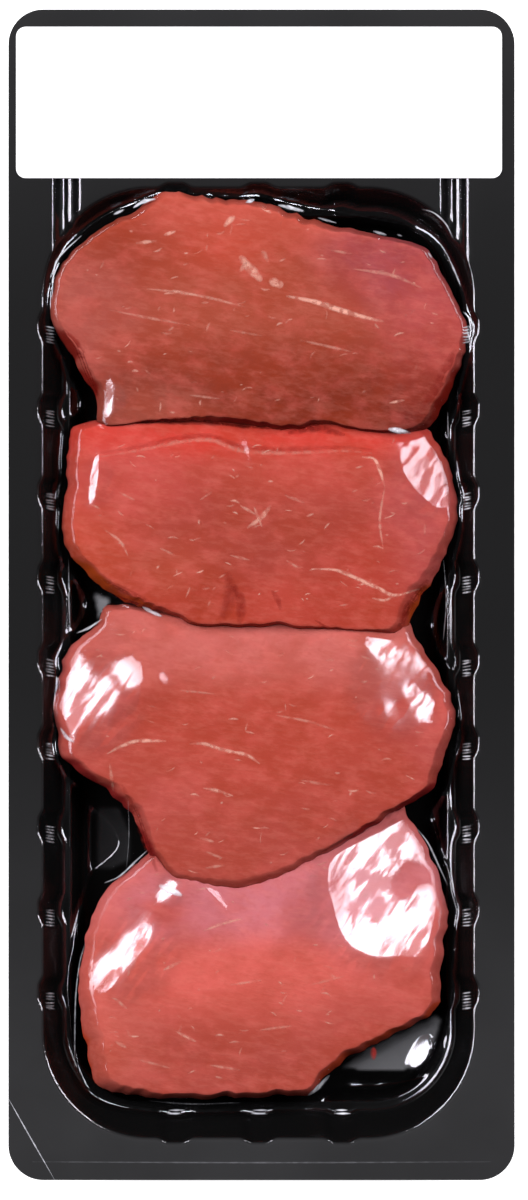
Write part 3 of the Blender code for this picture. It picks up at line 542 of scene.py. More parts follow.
def fillet(before, at, after, cut):
    """Rows of points that round off a fold."""
    def arm(other):
        reach = other - at
        length = np.linalg.norm(reach, axis=1)[:, None]
        return at + reach * np.minimum(cut / length, 0.45)

    start, end = arm(before), arm(after)
    shares = [i / FILLET_STEPS for i in range(FILLET_STEPS + 1)]
    return [(1 - t) ** 2 * start + 2 * t * (1 - t) * at + t * t * end for t in shares]


def sink_channels(points):
    """Lowers the points that lie over a channel onto its trough."""
    x, y, z = points.T
    depth = np.zeros(len(points))
    for middle in CHANNEL_MIDDLES:
        past = np.maximum(y - (CHANNEL_END - CHANNEL_HALF), 0.0)
        across = np.hypot(np.abs(x - middle), past)
        share = np.clip((across - CHANNEL_FLAT) / (CHANNEL_HALF - CHANNEL_FLAT), 0.0, 1.0)
        trough = CHANNEL_DEPTH * (1 - share ** 1.35) * (1 - share ** 6)
        depth = np.maximum(depth, np.where(y > CHANNEL_START, trough, 0.0))
    trough = TRAY_HEIGHT - depth
    share = np.clip(0.5 + 0.5 * (trough - z) / CHANNEL_BLEND, 0.0, 1.0)
    carved = trough * (1 - share) + z * share - CHANNEL_BLEND * share * (1 - share)
    return np.column_stack([x, y, np.where(trough < TRAY_HEIGHT - 1e-6, carved, z)])


def facing(heading):
    """A heading in degrees from +X, as a direction in plan."""
    turn = math.radians(heading)
    return np.array([math.cos(turn), math.sin(turn)])


def seen_along(x, y, way):
    """How far places lie along a direction, and how far to its left."""
    return x * way[0] + y * way[1], y * way[0] - x * way[1]


def inside_polygon(points, polygon):
    """Which points lie inside a closed polygon."""
    x, y = points[:, 0][:, None], points[:, 1][:, None]
    ax, ay = polygon[:, 0][None, :], polygon[:, 1][None, :]
    bx, by = np.roll(polygon[:, 0], -1)[None, :], np.roll(polygon[:, 1], -1)[None, :]
    crosses = (ay > y) != (by > y)
    with np.errstate(divide="ignore", invalid="ignore"):
        hit = x < (bx - ax) * (y - ay) / (by - ay) + ax
    return (np.sum(crosses & hit, axis=1) % 2) == 1


def fill_flange(bm, hole):
    """Fills the flange between the cavity's first row and the tray's rim."""
    half_x, half_y = TRAY_WIDTH / 2, TRAY_LENGTH / 2
    rim = rounded_outline(-half_x, half_x, -half_y, half_y, TRAY_CORNER, RIM_STEPS)
    grid = np.array([
        (middle + across, y) for middle in CHANNEL_MIDDLES
        for across in np.linspace(-1.05 * CHANNEL_HALF, 1.05 * CHANNEL_HALF, CHANNEL_COLUMNS)
        for y in np.arange(*CHANNEL_ROWS)])
    grid = grid[~inside_polygon(grid, hole)]
    gaps = np.hypot(grid[:, None, 0] - hole[None, :, 0], grid[:, None, 1] - hole[None, :, 1])
    grid = grid[np.min(gaps, axis=1) > 0.25 * MM]
    first, last = len(rim), len(rim) + len(hole)
    edges = [(i, (i + 1) % first) for i in range(first)]
    edges += [(i, i + 1 if i + 1 < last else first) for i in range(first, last)]
    vectors = [Vector(point) for point in np.concatenate([rim, hole, grid])]
    spots, _, triangles, _, _, _ = delaunay_2d_cdt(vectors, edges, [], 0, 1e-8)
    spots = np.array([tuple(spot) for spot in spots])
    points = sink_channels(np.column_stack([spots, np.full(len(spots), TRAY_HEIGHT)]))
    middles = np.array([spots[list(triangle)].mean(axis=0) for triangle in triangles])
    verts = [bm.verts.new(point) for point in points]
    for triangle, hidden in zip(triangles, inside_polygon(middles, hole)):
        if not hidden:
            bm.faces.new([verts[i] for i in triangle])


def tray_mesh():
    """The tray's upper skin: flange, channels, lobed wall, ledge and floor."""
    folds = [fine_ring(ring, lobed) for ring, lobed in (
        (grow(MOUTH, FLANGE_START), True), (MOUTH, True), (WALL_FOOT, True), (LEDGE_LIP, False),
        (FLOOR_EDGE, False), (grow(FLOOR_EDGE, -FLOOR_START), False))]
    rows = [folds[0]]
    for i in range(1, len(folds) - 1):
        rounded = fillet(folds[i - 1], folds[i], folds[i + 1], FILLETS[i - 1])
        start = rows[-1]
        if i > 1:
            rows += [start + (rounded[0] - start) * k / WALL_STEPS for k in range(1, WALL_STEPS)]
        rows += rounded
    rows = [sink_channels(row) for row in rows + folds[-1:]]

    bm = bmesh.new()
    bm.faces.new(join_rings(bm, rows)[-1])
    fill_flange(bm, rows[0][:, :2])
    bmesh.ops.remove_doubles(bm, verts=bm.verts, dist=1e-6)
    bmesh.ops.recalc_face_normals(bm, faces=bm.faces)
    if sum(face.normal.z * face.calc_area() for face in bm.faces) < 0:
        bmesh.ops.reverse_faces(bm, faces=bm.faces)
    return made_mesh("tray_shell", bm, smooth=False)


def spline(a, b, c, d, t):
    """A place between b and c on the Catmull-Rom curve through four points."""
    return 0.5 * (2 * b + (c - a) * t + (2 * a - 5 * b + 4 * c - d) * t ** 2
                  + (3 * b - a - 3 * c + d) * t ** 3)


def smooth_outline(corners, count):
    """A closed curve through the corners: evenly spaced points, and shoulder widths."""
    knots = np.array(corners) * MM
    t = (np.arange(16) / 16)[:, None]
    dense = [spline(*(knots[(i + k) % len(knots)] for k in (-1, 0, 1, 2)), t)
             for i in range(len(knots))]
    closed = np.concatenate(dense + [knots[:1]])
    steps = np.linalg.norm(np.diff(closed[:, :2], axis=0), axis=1)
    lengths = np.concatenate([[0.0], np.cumsum(steps)])
    places = lengths[-1] * np.arange(count) / count
    x, y, shoulder = (np.interp(places, lengths, closed[:, k]) for k in (0, 1, 2))
    return np.stack([x, y], axis=1), np.maximum(shoulder, 1.0 * MM)


def wall_height(x, y):
    """Height of the upper wall above points, or the ledge's where there is no wall."""
    low, high = np.full(len(x), WALL_FOOT.z), np.full(len(x), MOUTH.z)
    for _ in range(20):
        middle = (low + high) / 2
        kept_x, kept_y = keep_inside(x, y, between(WALL_FOOT, MOUTH, middle))
        clear = np.hypot(kept_x - x, kept_y - y) < 1e-7
        high = np.where(clear, middle, high)
        low = np.where(clear, low, middle)
    return high


def waves(x, y, seed, length, height):
    """A gentle, repeatable unevenness."""
    shift = Vector((seed * 13.7, seed * 5.3, seed * 2.1))
    return height * np.array([
        noise.noise(Vector((a, b, 0.0)) / length + shift) for a, b in zip(x.ravel(), y.ravel())
    ]).reshape(x.shape)


class MeatForm:
    """The height of a medallion's top over its plan."""

    def __init__(self, shape, seed):
        self.shape = shape
        self.seed = seed
        self.outline, self.shoulder = smooth_outline(shape.outline, MEAT_POINTS)
        self.centre = self.outline.mean(axis=0)
        arms = self.outline - self.centre
        self.reach = np.linalg.norm(arms, axis=1)
        self.ways = arms / self.reach[:, None]
        self.reach -= np.abs(waves(*self.outline.T, seed + 80, *EDGE_WAVES))
        self.half_width = np.abs(arms[:, 0]).max()
        angles = np.arctan2(self.ways[:, 1], self.ways[:, 0])
        order = np.argsort(angles)
        self.sorted_angles, self.sorted_reach = angles[order], self.reach[order]
        self.slopes = []
        for x, y, heading, steepness, along, across in shape.slopes:
            spot = np.array([x, y]) * MM
            way = facing(heading)
            extra = -steepness * way - self.gradient(spot)
            self.slopes.append((spot, way, extra, along * MM, across * MM))

    def inset(self, x, y):
        dx, dy = x - self.centre[0], y - self.centre[1]
        edge = np.interp(np.arctan2(dy, dx), self.sorted_angles, self.sorted_reach,
                         period=2 * np.pi)
        return np.maximum(edge - np.hypot(dx, dy), 0.0)

    def height(self, x, y):
        """The crown's height, before the shoulder rounds it off."""
        shape = self.shape
        dx, dy = x - self.centre[0], y - self.centre[1]
        upward = np.maximum(dy, 0.0) / np.sqrt(dx ** 2 + dy ** 2 + TUCK_CALM ** 2)
        z = shape.crown * MM + shape.tilt * MM * dx / self.half_width
        z = z - shape.tuck * MM * upward ** 1.5 * np.exp(-self.inset(x, y) / TUCK_REACH)
        for fx, fy, heading, steepness, width in shape.facets:
            out, aside = seen_along(x - fx * MM, y - fy * MM, facing(heading))
            drop = steepness * FACET_SOFTNESS * np.logaddexp(0.0, out / FACET_SOFTNESS)
            z = z - drop * np.exp(-(aside / (width * MM)) ** 2 / 2)
        for spot, way, extra, along, across in self.slopes:
            ox, oy = x - spot[0], y - spot[1]
            out, aside = seen_along(ox, oy, way)
            away = (out / along) ** 2 + (aside / across) ** 2
            z = z + (ox * extra[0] + oy * extra[1]) * np.exp(-away / 2)
        z = z + waves(x, y, self.seed, *BROAD_WAVES)
        return z + waves(x, y, self.seed + 40, *SMALL_WAVES)

    def gradient(self, spot):
        step = 0.2 * MM
        x = spot[0] + np.array([-step, step, 0.0, 0.0])
        y = spot[1] + np.array([0.0, 0.0, -step, step])
        z = self.height(x, y)
        return np.array([z[1] - z[0], z[3] - z[2]]) / (2 * step)


def medallion_mesh(name, form, growth=0.0):
    """A medallion from its underside up over its flank and crown, grown to trim the next one."""
    centre, ways, reach, shoulder = form.centre, form.ways, form.reach, form.shoulder
    tuck = form.shape.tuck * MM * np.maximum(0.0, ways[:, 1]) ** 1.5

    def at(inset):
        return (centre + ways * (reach - inset + growth)[:, None]).T

    def top_over(x, y):
        return np.maximum(form.height(x, y), belly + LEAST_CROWN) + growth

    rows = []
    for inset, height in UNDERSIDE:
        z = SHEET + GAP + height - growth
        x, y = keep_inside(*at(inset), cavity_ring(z))
        rows.append(np.column_stack([x, y, np.full(len(x), z)]))
    for ring, step in ((LEDGE_LIP, 0.0), (WALL_FOOT, 0.15 * MM)):
        x, y = keep_inside(*at(LEDGE_INSET), ring)
        rows.append(np.column_stack([x, y, np.full(len(x), WALL_FOOT.z + GAP + step)]))
    x, y = keep_inside(*at(0.0), MOUTH)
    belly = np.maximum(BELLY_HEIGHT - 0.7 * tuck, wall_height(x, y) + GAP)
    belly = np.maximum(belly, WALL_FOOT.z + 3 * GAP)
    rows.append(np.column_stack([x, y, belly]))
    for k in range(1, SHOULDER_STEPS + 1):
        turn = math.pi / 2 * k / SHOULDER_STEPS
        x, y = at(shoulder * (1 - math.cos(turn) ** (2 / FLANK_POWER)))
        rise = (top_over(x, y) - belly) * math.sin(turn) ** (2 / FLANK_POWER)
        rows.append(np.column_stack([*keep_inside(x, y, MOUTH), belly + rise]))
    for k in range(1, MEAT_RINGS + 1):
        share = 1 - k / (MEAT_RINGS + 1)
        spot = centre + ways * ((reach - shoulder + growth) * share)[:, None]
        rows.append(np.column_stack([spot, top_over(*spot.T)]))

    bm = bmesh.new()
    loops = join_rings(bm, rows)
    peak = bm.verts.new(np.append(centre, rows[-1][:, 2].mean()))
    for i in range(MEAT_POINTS):
        bm.faces.new((loops[-1][i], loops[-1][(i + 1) % MEAT_POINTS], peak))
    bm.faces.new(list(reversed(loops[0])))
    bmesh.ops.recalc_face_normals(bm, faces=bm.faces)
    return made_mesh(name, bm)


def paint_meat(mesh, shape):
    """Stores the meat's colours, a few painted light, on its points, and painted shade by how much each
    faces sideways.
    """
    spots = read(mesh, "co") / MM
    normals = read(mesh, "normal")
    count = len(spots)
    total = np.zeros((count, 3))
    weight = np.zeros(count)
    for x, y, reach_x, reach_y, *colour in shape.tones:
        away = ((spots[:, 0] - x) / reach_x) ** 2 + ((spots[:, 1] - y) / reach_y) ** 2
        share = np.exp(-away) + 0.004
        total += share[:, None] * np.array(srgb(*colour))
        weight += share
    tone = total / weight[:, None] * np.array(MEAT_SHADE)
    store(mesh, "tone", "FLOAT_COLOR", "color", np.column_stack([tone, np.ones(count)]))
    # The flank colour: partly the cut side's own darker red and partly painted shade
    flank = np.tile(np.append(srgb(*shape.flank), 1.0), (count, 1))
    store(mesh, "flank", "FLOAT_COLOR", "color", flank)
    # Painted shade on the flanks, with their own darker colour: full at the listed spots and weaker
    # elsewhere
    flank_shade = np.full(count, PLAIN_FLANK_SHADE)
    for x, y, reach in SHADED_FLANKS:
        near = np.exp(-(np.hypot(spots[:, 0] - x, spots[:, 1] - y) / reach) ** 2)
        flank_shade = np.maximum(flank_shade, near)
    # Painted shade: more where a point faces sideways, and most where it also faces away from the lamps
    # towards -Y
    away = np.clip((0.2 - normals[:, 1]) / 0.7, 0.0, 1.0)
    tilt = np.clip(1 - normals[:, 2], 0.0, 1.0)
    store(mesh, "side", "FLOAT", "value", tilt * (0.3 + 0.7 * away) * flank_shade)


def apply_modifiers(item):
    bpy.context.view_layer.update()
    depsgraph = bpy.context.evaluated_depsgraph_get()
    mesh = bpy.data.meshes.new_from_object(item.evaluated_get(depsgraph))
    item.modifiers.clear()
    old = item.data
    item.data = mesh
    bpy.data.meshes.remove(old)


def make_medallions(material):
    """The medallions, each trimmed where the one before lies on it."""
    pieces = []
    for number, shape in enumerate(MEDALLIONS, start=1):
        name = f"meat_{number}"
        form = MeatForm(shape, number)
        piece = new_object(name, medallion_mesh(name, form), material, slot="raw_meat",
                           stands_for=(f"medallion_{number}",))
        if pieces:
            cutter = placed("cutter", medallion_mesh("cutter", above, SEAM_GAP))
            trim = piece.modifiers.new("Trim", "BOOLEAN")
            trim.operation = "DIFFERENCE"
            trim.object = cutter
            apply_modifiers(piece)
            bpy.data.objects.remove(cutter, do_unlink=True)
        above = form
        paint_meat(piece.data, shape)
        pieces.append(piece)
    return pieces


def search_tree(items):
    """The items' surfaces, ready for rays to be cast at them."""
    points = []
    faces = []
    for item in items:
        start = len(points)
        points += [vertex.co.copy() for vertex in item.data.vertices]
        item.data.calc_loop_triangles()
        faces += [[start + i for i in triangle.vertices] for triangle in item.data.loop_triangles]
    return BVHTree.FromPolygons(points, faces)


def height_at(tree, x, y, elsewhere):
    """The highest surface over a place in plan."""
    hit = tree.ray_cast(Vector((x, y, 0.1)), Vector((0.0, 0.0, -1.0)))[0]
    return hit.z if hit else elsewhere


def height_field(tree, xs, ys, elsewhere):
    """Top heights over a grid of plan points, as rows of y by columns of x."""
    return np.array([[height_at(tree, x, y, elsewhere) for x in xs] for y in ys])


def widen(field):
    """Each place takes the highest value of its neighbours."""
    padded = np.pad(field, 1, mode="edge")
    rows, columns = field.shape
    return np.max([padded[i:i + rows, j:j + columns] for i in range(3) for j in range(3)], axis=0)


def settle(film, ground, rounds):
    """Draws a membrane down onto the ground, leaving it taut between the high places."""
    sag = FILM_PULL * FILM_STEP ** 2 / 4
    for _ in range(rounds):
        padded = np.pad(film, 1, mode="edge")
        mean = (padded[:-2, 1:-1] + padded[2:, 1:-1] + padded[1:-1, :-2] + padded[1:-1, 2:]) / 4
        film = np.maximum(ground, mean - sag)
    return film


def box_blur(field, reach):
    for axis in (0, 1):
        parts = [np.roll(field, k, axis=axis) for k in range(-reach, reach + 1)]
        field = np.mean(parts, axis=0)
    return field


def ease(value, low, high):
    share = np.clip((value - low) / (high - low), 0.0, 1.0)
    return share * share * (3 - 2 * share)


def raise_bubbles(film, x, y):
    """The film with its bubbles standing on it."""
    for bx, by, bz, heading, slope, reach_out, reach_aside in BUBBLES:
        out, aside = seen_along(x - bx, y - by, facing(heading))
        away = (out / reach_out) ** 2 + (aside / reach_aside) ** 2
        dome = (bz - slope * out - 0.02 * out ** 2 - 0.015 * aside ** 2) * MM
        film = np.where(away < 1.4, np.maximum(film, dome), film)
    return film


def film_fields(tray_tree, meat_tree, xs, ys):
    """The film's height, gleam, milkiness, crinkling and lean over a grid."""
    on_meat = height_field(meat_tree, xs, ys, 0.0)
    on_tray = height_field(tray_tree, xs, ys, TRAY_HEIGHT)
    bare = on_meat < on_tray
    ground = widen(np.maximum(on_meat, on_tray)) + FILM_LIFT
    film = settle(ground.copy(), ground, FILM_ROUNDS)
    x, y = np.meshgrid(xs, ys)
    spots = np.column_stack([x.ravel(), y.ravel()])
    x, y = x / MM, y / MM

    def within(corners):
        return inside_polygon(spots, np.array(corners).reshape(-1, 2) * MM).reshape(film.shape)

    haze = np.zeros(film.shape)
    raised = film.copy()
    for strength, height, *corners in HAZES:
        inside = within(corners)
        haze = np.maximum(haze, strength * box_blur(inside.astype(float), 1))
        raised = np.where(inside, np.maximum(raised, height * MM), raised)
    raised = raise_bubbles(raised, x, y)
    film = settle(raised, np.maximum(ground, np.where(raised > film, raised, 0.0)), BUBBLE_ROUNDS)

    crinkle = np.zeros(film.shape)
    for cx, cy, reach in CRINKLES:
        away = np.hypot(x - cx, y - cy) / reach
        crinkle = np.maximum(crinkle, ease(-away, -1.2, -0.8))
    meaty = box_blur(1.0 - bare, round(EDGE_REACH / FILM_STEP))
    slope = np.hypot(*np.gradient(film, FILM_STEP))
    gleam = FILM_FLAT + (FILM_DULL - FILM_FLAT) * ease(slope, 0.03, 0.2)
    gleam += (FILM_FAINT - gleam) * ease(slope, 0.9, 1.5)
    gleam += (FILM_RIM - gleam) * ease(meaty, 0.4, 0.6)
    gleam += (FILM_SOFT + (FILM_BRIGHT - FILM_SOFT) * crinkle - gleam) * ease(meaty, 0.72, 1.0)
    for gx, gy, reach_x, reach_y, target in GLEAMS:
        away = ((x - gx) / reach_x) ** 2 + ((y - gy) / reach_y) ** 2
        gleam += (np.minimum(gleam, target) - gleam) * np.exp(-away ** 2)
    for bx, by, *_, reach_aside in BUBBLES:
        gleam = np.where(np.hypot(x - bx, y - by) < 1.3 * reach_aside, FILM_BRIGHT, gleam)
    lean = np.zeros((*film.shape, 3))
    for heading, slope, *corners in LEANS:
        way = Vector((*(slope * facing(heading)), 1.0)).normalized()
        soft = box_blur(box_blur(within(corners).astype(float), 2), 1)
        lean += soft[..., None] * np.array(way)
    return film, gleam, haze * bare, crinkle, lean


def film_mesh(film, gleam, haze, crinkle, lean, xs, ys):
    """The film's grid, with a band of faces from its border out to the tray's rim."""
    x, y = (field.ravel() for field in np.meshgrid(xs, ys))
    grid = np.arange(film.size).reshape(film.shape)
    border = np.concatenate([grid[0], grid[1:, -1], grid[-1, -2::-1], grid[-2:0:-1, 0]])
    half_x, half_y = TRAY_WIDTH / 2 - FILM_MARGIN, TRAY_LENGTH / 2 - FILM_MARGIN
    rim = Ring(-half_x, half_x, -half_y, half_y, TRAY_CORNER - FILM_MARGIN, 0.0)
    share_x = (x[border] - xs[0]) / (xs[-1] - xs[0]) * 2 - 1
    share_y = (y[border] - ys[0]) / (ys[-1] - ys[0]) * 2 - 1
    rim_x, rim_y = keep_inside(share_x * half_x, share_y * half_y, rim, 0.0)
    count = len(border)
    rim_points = np.column_stack([rim_x, rim_y, np.full(count, TRAY_HEIGHT + FILM_LIFT)])
    points = np.concatenate([np.column_stack([x, y, film.ravel()]), rim_points])
    outer = film.size + np.arange(count)
    faces = np.stack([grid[:-1, :-1], grid[:-1, 1:], grid[1:, 1:], grid[1:, :-1]], axis=-1)
    band = np.stack([border, outer, np.roll(outer, -1), np.roll(border, -1)], axis=1)
    faces = np.concatenate([faces.reshape(-1, 4), band])
    mesh = plain_mesh("film", points.tolist(), faces.tolist())
    for name, field, at_rim in (("gleam", gleam, FILM_FLAT), ("haze", haze, 0.0),
                                ("crinkle", crinkle, 0.0)):
        store(mesh, name, "FLOAT", "value", np.append(field.ravel(), np.full(count, at_rim)))
    leans = np.concatenate([lean.reshape(-1, 3), np.zeros((count, 3))])
    store(mesh, "lean", "FLOAT_VECTOR", "vector", leans)
    return mesh


def strips(table, spread=1.0):
    """A table's strips, each as its points, its width in mm and its strength."""
    return [(list(zip(row[2::2], row[3::2])), spread * row[0], row[1]) for row in table]


def small_streaks():
    """Short fine streaks of fat strewn over the medallions, mostly along their fibres."""
    chance = random.Random(7)
    streaks = []
    for shape in MEDALLIONS:
        corners = np.array(shape.outline)[:, :2]
        inner = corners.mean(axis=0) + STREAKS_SPREAD * (corners - corners.mean(axis=0))
        low, high = corners.min(axis=0), corners.max(axis=0)
        for _ in range(STREAKS_EACH):
            x, y = chance.uniform(low[0] + 6, high[0] - 6), chance.uniform(low[1] + 5, high[1] - 5)
            turn = chance.gauss(0.0, 0.45) + (chance.random() < 0.2) * 1.2
            half = chance.uniform(0.3, 1.4)
            dx, dy = half * math.cos(turn), half * math.sin(turn)
            bow = chance.uniform(-0.3, 0.3)
            points = ((x - dx, y - dy), (x + bow * dy, y - bow * dx), (x + dx, y + dy))
            width, strength = chance.uniform(0.3, 0.75), chance.uniform(0.2, 0.65)
            if inside_polygon(np.array(points), inner).all():
                streaks.append((points, width, strength))
    return streaks


def lobe_wrinkle_glints():
    """Short strips of painted glint where the film is drawn in fine folds over the walls' lobes."""
    chance = random.Random(3)
    wrinkle_glints = []
    middle = (MOUTH.left + MOUTH.right) / 2 / MM
    for centre in SIDE_CENTRES:
        for side, share in ((-1, WRINKLE_LEFT_SHARE), (1, 1.0)):
            near, far = (middle + side * reach for reach in LOBE_WRINKLE_SPAN)
            for i in range(LOBE_WRINKLES):
                y = centre / MM - LOBE_WRINKLE_START - i * LOBE_WRINKLE_STEP
                slant = chance.uniform(0.1, 0.6)
                strength = share * WRINKLE_STRENGTH * chance.uniform(0.4, 1.0)
                wrinkle_glints.append((((near, y), (far, y + slant)), WRINKLE_WIDTH, strength))
    for centre in END_CENTRES:
        for y in END_WRINKLES:
            low, high = (centre / MM + reach * chance.uniform(0.5, 1.0) for reach in END_WRINKLE_SPAN)
            wrinkle_glints.append((((low, y), (high, y)), WRINKLE_WIDTH, WRINKLE_STRENGTH))
    return wrinkle_glints


def smooth_path(points, step):
    """An open Catmull-Rom curve through the points, sampled at about a step apart."""
    knots = [Vector(point) for point in points]
    knots = [2 * knots[0] - knots[1]] + knots + [2 * knots[-1] - knots[-2]]
    path = []
    for a, b, c, d in zip(knots, knots[1:], knots[2:], knots[3:]):
        count = max(2, round((c - b).length / step))
        path += [spline(a, b, c, d, i / count) for i in range(count)]
    return path + [knots[-2]]


def ribbon_mesh(name, ribbons, tree, lift, ridge):
    """Thin strips laid on a surface; each is its points, width in mm and strength."""
    across = (-1.0, -0.5, 0.0, 0.5, 1.0)
    count = len(across)
    points, fades, faces = [], [], []
    for places, width, strength in ribbons:
        path = smooth_path([(x * MM, y * MM) for x, y in places], STRIP_STEP)
        for i, spot in enumerate(path):
            ahead = path[min(i + 1, len(path) - 1)] - path[max(i - 1, 0)]
            side = Vector((-ahead.y, ahead.x)).normalized()
            taper = math.sin(math.pi * (0.06 + 0.88 * i / (len(path) - 1))) ** 0.6
            wobble = 1 + 0.35 * noise.noise(Vector((spot.x, spot.y, 0.0)) * 700)
            if i:
                high = range(len(points), len(points) + count - 1)
                faces += [(k - count + 1, k - count, k, k + 1) for k in high]
            for share in across:
                x, y = spot + side * share * width * MM / 2 * taper * wobble
                z = height_at(tree, x, y, TRAY_HEIGHT) + lift + ridge * (1 - share * share)
                points.append((x, y, z))
                fades.append(strength * taper * (1 - share * share))
    mesh = plain_mesh(name, points, faces)
    store(mesh, "fade", "FLOAT", "value", fades)
    return mesh


def node_tree(name):
    """A new material with its node tree and its main shader."""
    material = bpy.data.materials.new(name)
    material.use_nodes = True
    tree = material.node_tree
    return material, tree, tree.nodes["Principled BSDF"]


def fill(tree, step, inputs):
    """Gives a node its inputs: an output is linked, and a plain value is set."""
    for key, value in inputs.items():
        if isinstance(value, bpy.types.NodeSocket):
            tree.links.new(value, step.inputs[key])
        else:
            step.inputs[key].default_value = value


def node(tree, kind, output, inputs, **settings):
    """Adds a node and gives one of its outputs."""
    step = tree.nodes.new("ShaderNode" + kind)
    for key, value in settings.items():
        setattr(step, key, value)
    fill(tree, step, inputs)
    return step.outputs[output]


def texture(tree, scale, stretch=(1.0, 1.0, 1.0), turn=0.0, detail=3.0, roughness=0.5, distortion=0.0):
    """A noise texture in the object's own space; scale is in features a metre."""
    place = node(tree, "Mapping", "Vector", {
        "Vector": node(tree, "TexCoord", "Object", {}), "Rotation": (0.0, 0.0, turn),
        "Scale": tuple(1 / share for share in stretch)}, vector_type="TEXTURE")
    return node(tree, "TexNoise", "Fac", {
        "Vector": place, "Scale": scale, "Detail": detail, "Roughness": roughness,
        "Distortion": distortion})


def remap(tree, value, low, high, to_low=0.0, to_high=1.0):
    """A value eased from one range into another."""
    return node(tree, "MapRange", "Result", {
        "Value": value, "From Min": low, "From Max": high, "To Min": to_low, "To Max": to_high},
        interpolation_type="SMOOTHSTEP")


def mix(tree, share, first, second):
    """Mixes two colours; each may be an output or a plain colour."""
    first, second = ((*c, 1.0) if isinstance(c, tuple) else c for c in (first, second))
    return node(tree, "Mix", 2, {0: share, 6: first, 7: second}, data_type="RGBA")


def arithmetic(tree, operation, *values):
    return node(tree, "Math", 0, dict(enumerate(values)), operation=operation)


def bump(tree, height, distance, strength, **normal):
    inputs = {"Height": height, "Distance": distance, "Strength": strength, **normal}
    return node(tree, "Bump", "Normal", inputs)


def attribute(tree, name, output="Fac"):
    return node(tree, "Attribute", output, {}, attribute_name=name)


def meat_material():
    """Raw meat: its colours, mottled layer by layer, and its sides, darker by their own colour and
    painted shade.
    """
    material, tree, shader = node_tree("raw_meat")
    colour = attribute(tree, "tone", "Color")
    for scale, stretch, turn, detail, roughness, low, high, cover, tint in MEAT_LAYERS:
        shown = remap(tree, texture(tree, scale, stretch, turn, detail, roughness), low, high)
        colour = mix(tree, remap(tree, shown, 0.0, 1.0, 0.0, cover), colour, srgb(*tint))
        if scale == FIBRE_SCALE:
            fibre = shown
    # Painted shade, with the flank's own darker colour, mixed in by how far each point faces sideways
    # and away from the lamps
    shade = remap(tree, attribute(tree, "side"), 0.2, 0.6)
    flank = attribute(tree, "flank", "Color")
    colour = mix(tree, remap(tree, shade, 0.0, 1.0, 0.0, 0.9), colour, flank)
    fill(tree, shader, {"Base Color": colour, "Roughness": 0.5, "Specular IOR Level": 0.0,
                        "Normal": bump(tree, fibre, 0.1 * MM, 0.4)})
    return material


def ribbon_material(name, colour, break_up, roughness):
    """A strip that fades to nothing at its edges and is broken up along its length."""
    material, tree, shader = node_tree(name)
    grain = remap(tree, texture(tree, 600, detail=4), 0.36, 0.6, 1 - break_up, 1.0)
    dark = tuple(0.8 * part for part in colour)
    fill(tree, shader, {
        "Alpha": arithmetic(tree, "MULTIPLY", attribute(tree, "fade"), grain),
        "Base Color": mix(tree, remap(tree, texture(tree, 300), 0.3, 0.7), colour, dark),
        "Roughness": roughness, "Specular IOR Level": 0.1})
    return material


def plastic_material():
    """Black sheet: matt and slightly grey on the flange, lighter at top and bottom by painted sheen;
    glossy and darker by painted shade below it.
    """
    material, tree, shader = node_tree("black_plastic")
    place = node(tree, "TexCoord", "Object", {})
    along, up = (node(tree, "SeparateXYZ", axis, {"Vector": place}) for axis in "YZ")
    cloud = texture(tree, 40)
    # Painted sheen: the flange is lighter from its middle towards both of its ends
    low = remap(tree, along, -5 * MM, -140 * MM)
    high = remap(tree, along, 60 * MM, 200 * MM)
    flange_with_sheen = mix(tree, low, mix(tree, high, FLANGE_MIDDLE, FLANGE_END_SHEEN), FLANGE_END_SHEEN)
    flat = mix(tree, remap(tree, cloud, 0.3, 0.7, 0.0, 0.25), flange_with_sheen, FLANGE_CLOUD)
    # Painted shade: the sheet turns darker from just under the flange down into the cavity
    height = remap(tree, up, TRAY_HEIGHT - 1.2 * MM, TRAY_HEIGHT - 0.2 * MM)
    polish = remap(tree, texture(tree, 900, detail=2), 0.2, 0.8, 0.14, 0.22)
    fill(tree, shader, {
        "Base Color": mix(tree, height, CAVITY_SHADE, flat),
        "Roughness": arithmetic(tree, "MULTIPLY_ADD", height, FLANGE_MATT, polish),
        "Specular IOR Level": 0.05, "Normal": bump(tree, cloud, 0.3 * MM, 0.08)})
    return material


def leaning_normal(tree):
    """The film's normal, turned to where its lean points."""
    lean = attribute(tree, "lean", "Vector")
    length = node(tree, "VectorMath", "Value", {0: lean}, operation="LENGTH")
    plain = node(tree, "VectorMath", "Vector", {
        0: node(tree, "NewGeometry", "Normal", {}), "Scale": remap(tree, length, 0.0, 1.0, 1.0, 0.0)},
        operation="SCALE")
    turned = node(tree, "VectorMath", "Vector", {0: plain, 1: lean}, operation="ADD")
    return node(tree, "VectorMath", "Vector", {0: turned}, operation="NORMALIZE")


